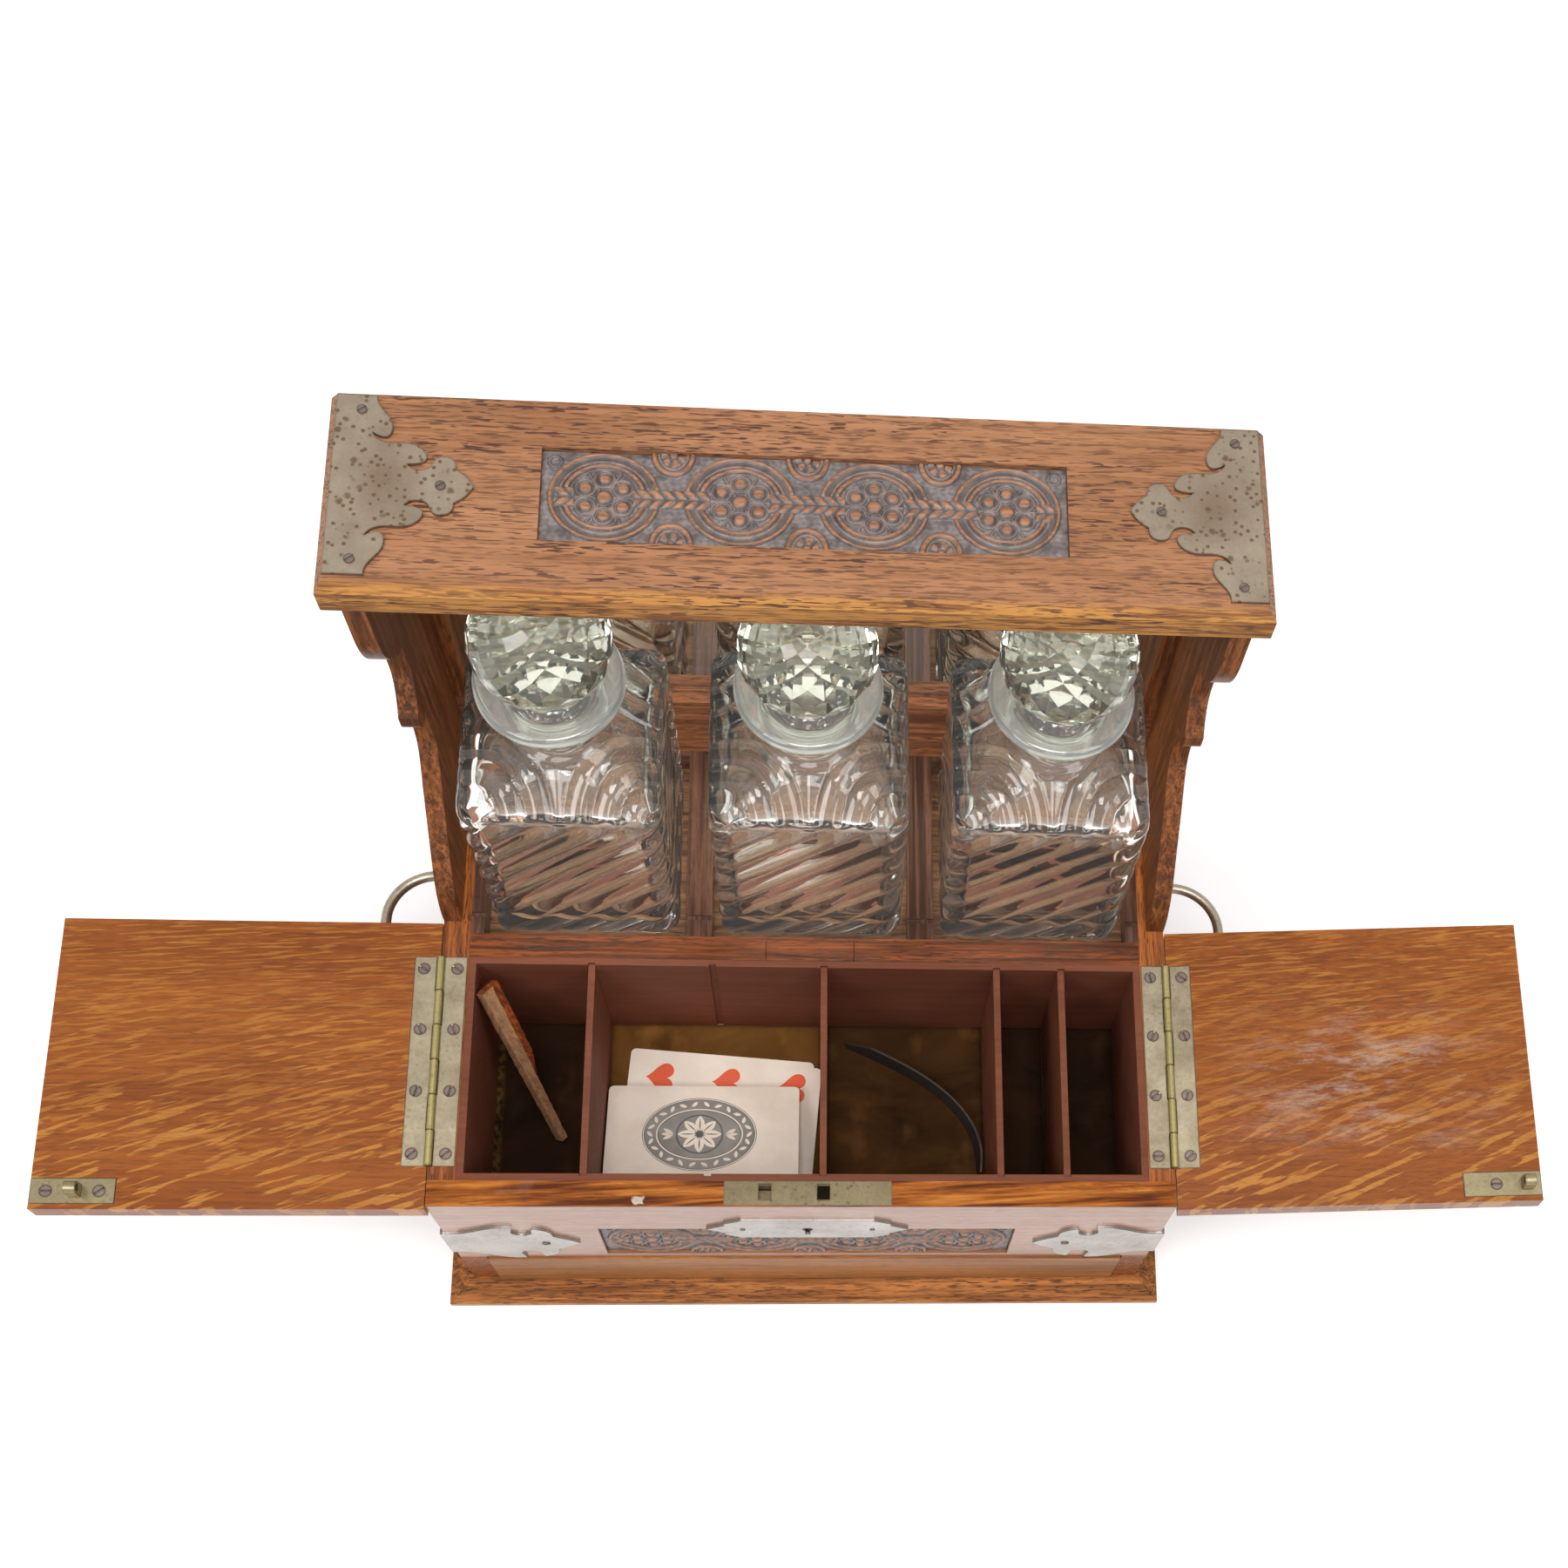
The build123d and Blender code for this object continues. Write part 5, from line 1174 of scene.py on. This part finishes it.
def make_spring():
    """The bent strip stands on the velvet and leans outward from its foot."""
    course = np.array(SPRING_COURSE)
    gaps = np.hypot(*np.diff(course, axis=0).T)
    at = np.concatenate([[0.0], np.cumsum(gaps)]) / gaps.sum()
    fits = [np.polyfit(at, course[:, axis], 3) for axis in (0, 1)]
    steps = 60
    verts = []
    for k in range(steps + 1):
        t = k / steps
        x, y = (float(np.polyval(fit, t)) for fit in fits)
        tangent = Vector([float(np.polyval(np.polyder(fit), t)) for fit in fits]).normalized()
        out = Vector((-tangent.y, tangent.x, 0.0))
        foot = Vector((x, y, SPRING_FOOT))
        full = min(1.0, 0.45 + t / 0.25, 0.6 + (1.0 - t) / 0.3)
        top = foot + out * SPRING_LEAN * full + Vector((0.0, 0.0, SPRING_HEIGHT * full))
        half = out * SPRING_THICK / 2
        verts += [foot - half, foot + half, top + half, top - half]
    mesh_piece(
        "leaning_strip", verts, loft_faces(steps + 1, 4), dark_steel, "case", ("spring_strip",),
        smooth=False,
    )


# ---------------------------------------------------------------- studio
def area_light(name, place, target, size, energy, colour=(1.0, 1.0, 1.0)):
    light = bpy.data.lights.new(name, "AREA")
    light.shape = "RECTANGLE"
    light.size, light.size_y = size
    light.energy = energy
    light.color = colour
    obj = bpy.data.objects.new(name, light)
    bpy.context.scene.collection.objects.link(obj)
    obj.location = place
    direction = Vector(target) - Vector(place)
    obj.rotation_euler = direction.to_track_quat("-Z", "Y").to_euler()
    return obj


def seen_rays(tree):
    """1 for rays from the camera, off a glossy surface or through glass."""
    path = tree.nodes.new("ShaderNodeLightPath")
    total = path.outputs["Is Camera Ray"]
    for ray in ("Is Glossy Ray", "Is Transmission Ray"):
        either = tree.nodes.new("ShaderNodeMath")
        either.operation = "MAXIMUM"
        tree.links.new(total, either.inputs[0])
        tree.links.new(path.outputs[ray], either.inputs[1])
        total = either.outputs[0]
    return total


def make_studio():
    world = bpy.data.worlds.new("studio")
    bpy.context.scene.world = world
    world.use_nodes = True
    tree = world.node_tree
    background = tree.nodes["Background"]
    background.inputs["Color"].default_value = (1.0, 1.0, 1.0, 1.0)
    background.inputs["Strength"].default_value = 0.25
    bright = tree.nodes.new("ShaderNodeBackground")
    bright.inputs["Color"].default_value = (1.0, 1.0, 1.0, 1.0)
    bright.inputs["Strength"].default_value = 1.0
    blend = tree.nodes.new("ShaderNodeMixShader")
    tree.links.new(seen_rays(tree), blend.inputs[0])
    tree.links.new(background.outputs[0], blend.inputs[1])
    tree.links.new(bright.outputs[0], blend.inputs[2])
    tree.links.new(blend.outputs[0], tree.nodes["World Output"].inputs["Surface"])

    g = Graph("studio_floor")
    lift = g.math("MULTIPLY", seen_rays(g.tree), 0.42)
    g.set(Base_Color=(0.90, 0.90, 0.90), Roughness=0.9)
    g.set(Emission_Color=(1.0, 1.0, 1.0), Emission_Strength=lift)
    size = 6.0
    mesh = bpy.data.meshes.new("studio_floor")
    mesh.from_pydata(
        [(-size, -size, 0), (size, -size, 0), (size, size, 0), (-size, size, 0)], [], [(0, 1, 2, 3)]
    )
    mesh.materials.append(g.material)
    floor = bpy.data.objects.new("studio_floor", mesh)
    bpy.context.scene.collection.objects.link(floor)
    floor.location.z = -0.0005

    area_light("overhead", (0.0, -0.35, 2.9), (0.0, 0.0, 0.15), (0.9, 0.9), 31.0)
    area_light("left", (-1.3, -1.0, 2.2), (0.0, 0.0, 0.15), (0.9, 0.9), 21.0)
    area_light("right", (1.3, -1.0, 2.2), (0.0, 0.0, 0.15), (0.9, 0.9), 14.0)
    area_light("front", (0.0, -2.1, 2.9), (0.0, 0.0, 0.25), (1.1, 0.5), 12.0)


def make_camera():
    rx, ry, rz = 2.83151691, 0.0968426, 0.02600834
    shift_mm = Vector((-110.056655, 76.900135, 1010.71315))
    focal, px, py = 2278.46627, 1178.07807, 1297.04579
    turn = Matrix.Rotation(rx, 3, "X") @ Matrix.Rotation(ry, 3, "Y") @ Matrix.Rotation(rz, 3, "Z")
    place = -(turn.transposed() @ shift_mm)
    camera = bpy.data.cameras.new("photo_camera")
    camera.sensor_width = 36.0
    camera.lens = focal * 36.0 / 1800.0
    camera.shift_x = (900.0 - px) / 1800.0
    camera.shift_y = (py - 900.0) / 1800.0
    camera.clip_start = 0.02
    camera.clip_end = 50.0
    obj = bpy.data.objects.new("photo_camera", camera)
    bpy.context.scene.collection.objects.link(obj)
    flip = Matrix(((1, 0, 0), (0, -1, 0), (0, 0, -1)))
    pose = (turn.transposed() @ flip).to_4x4()
    pose.translation = Vector((place.x, place.y - 120.0, place.z)) * MM
    obj.matrix_world = pose
    bpy.context.scene.camera = obj


dress_cad_nodes()
make_glass()
make_carvings()
make_velvet()
make_cards()
make_strip()
make_spring()
make_studio()
make_camera()
bpy.context.scene.view_settings.view_transform = "Standard"
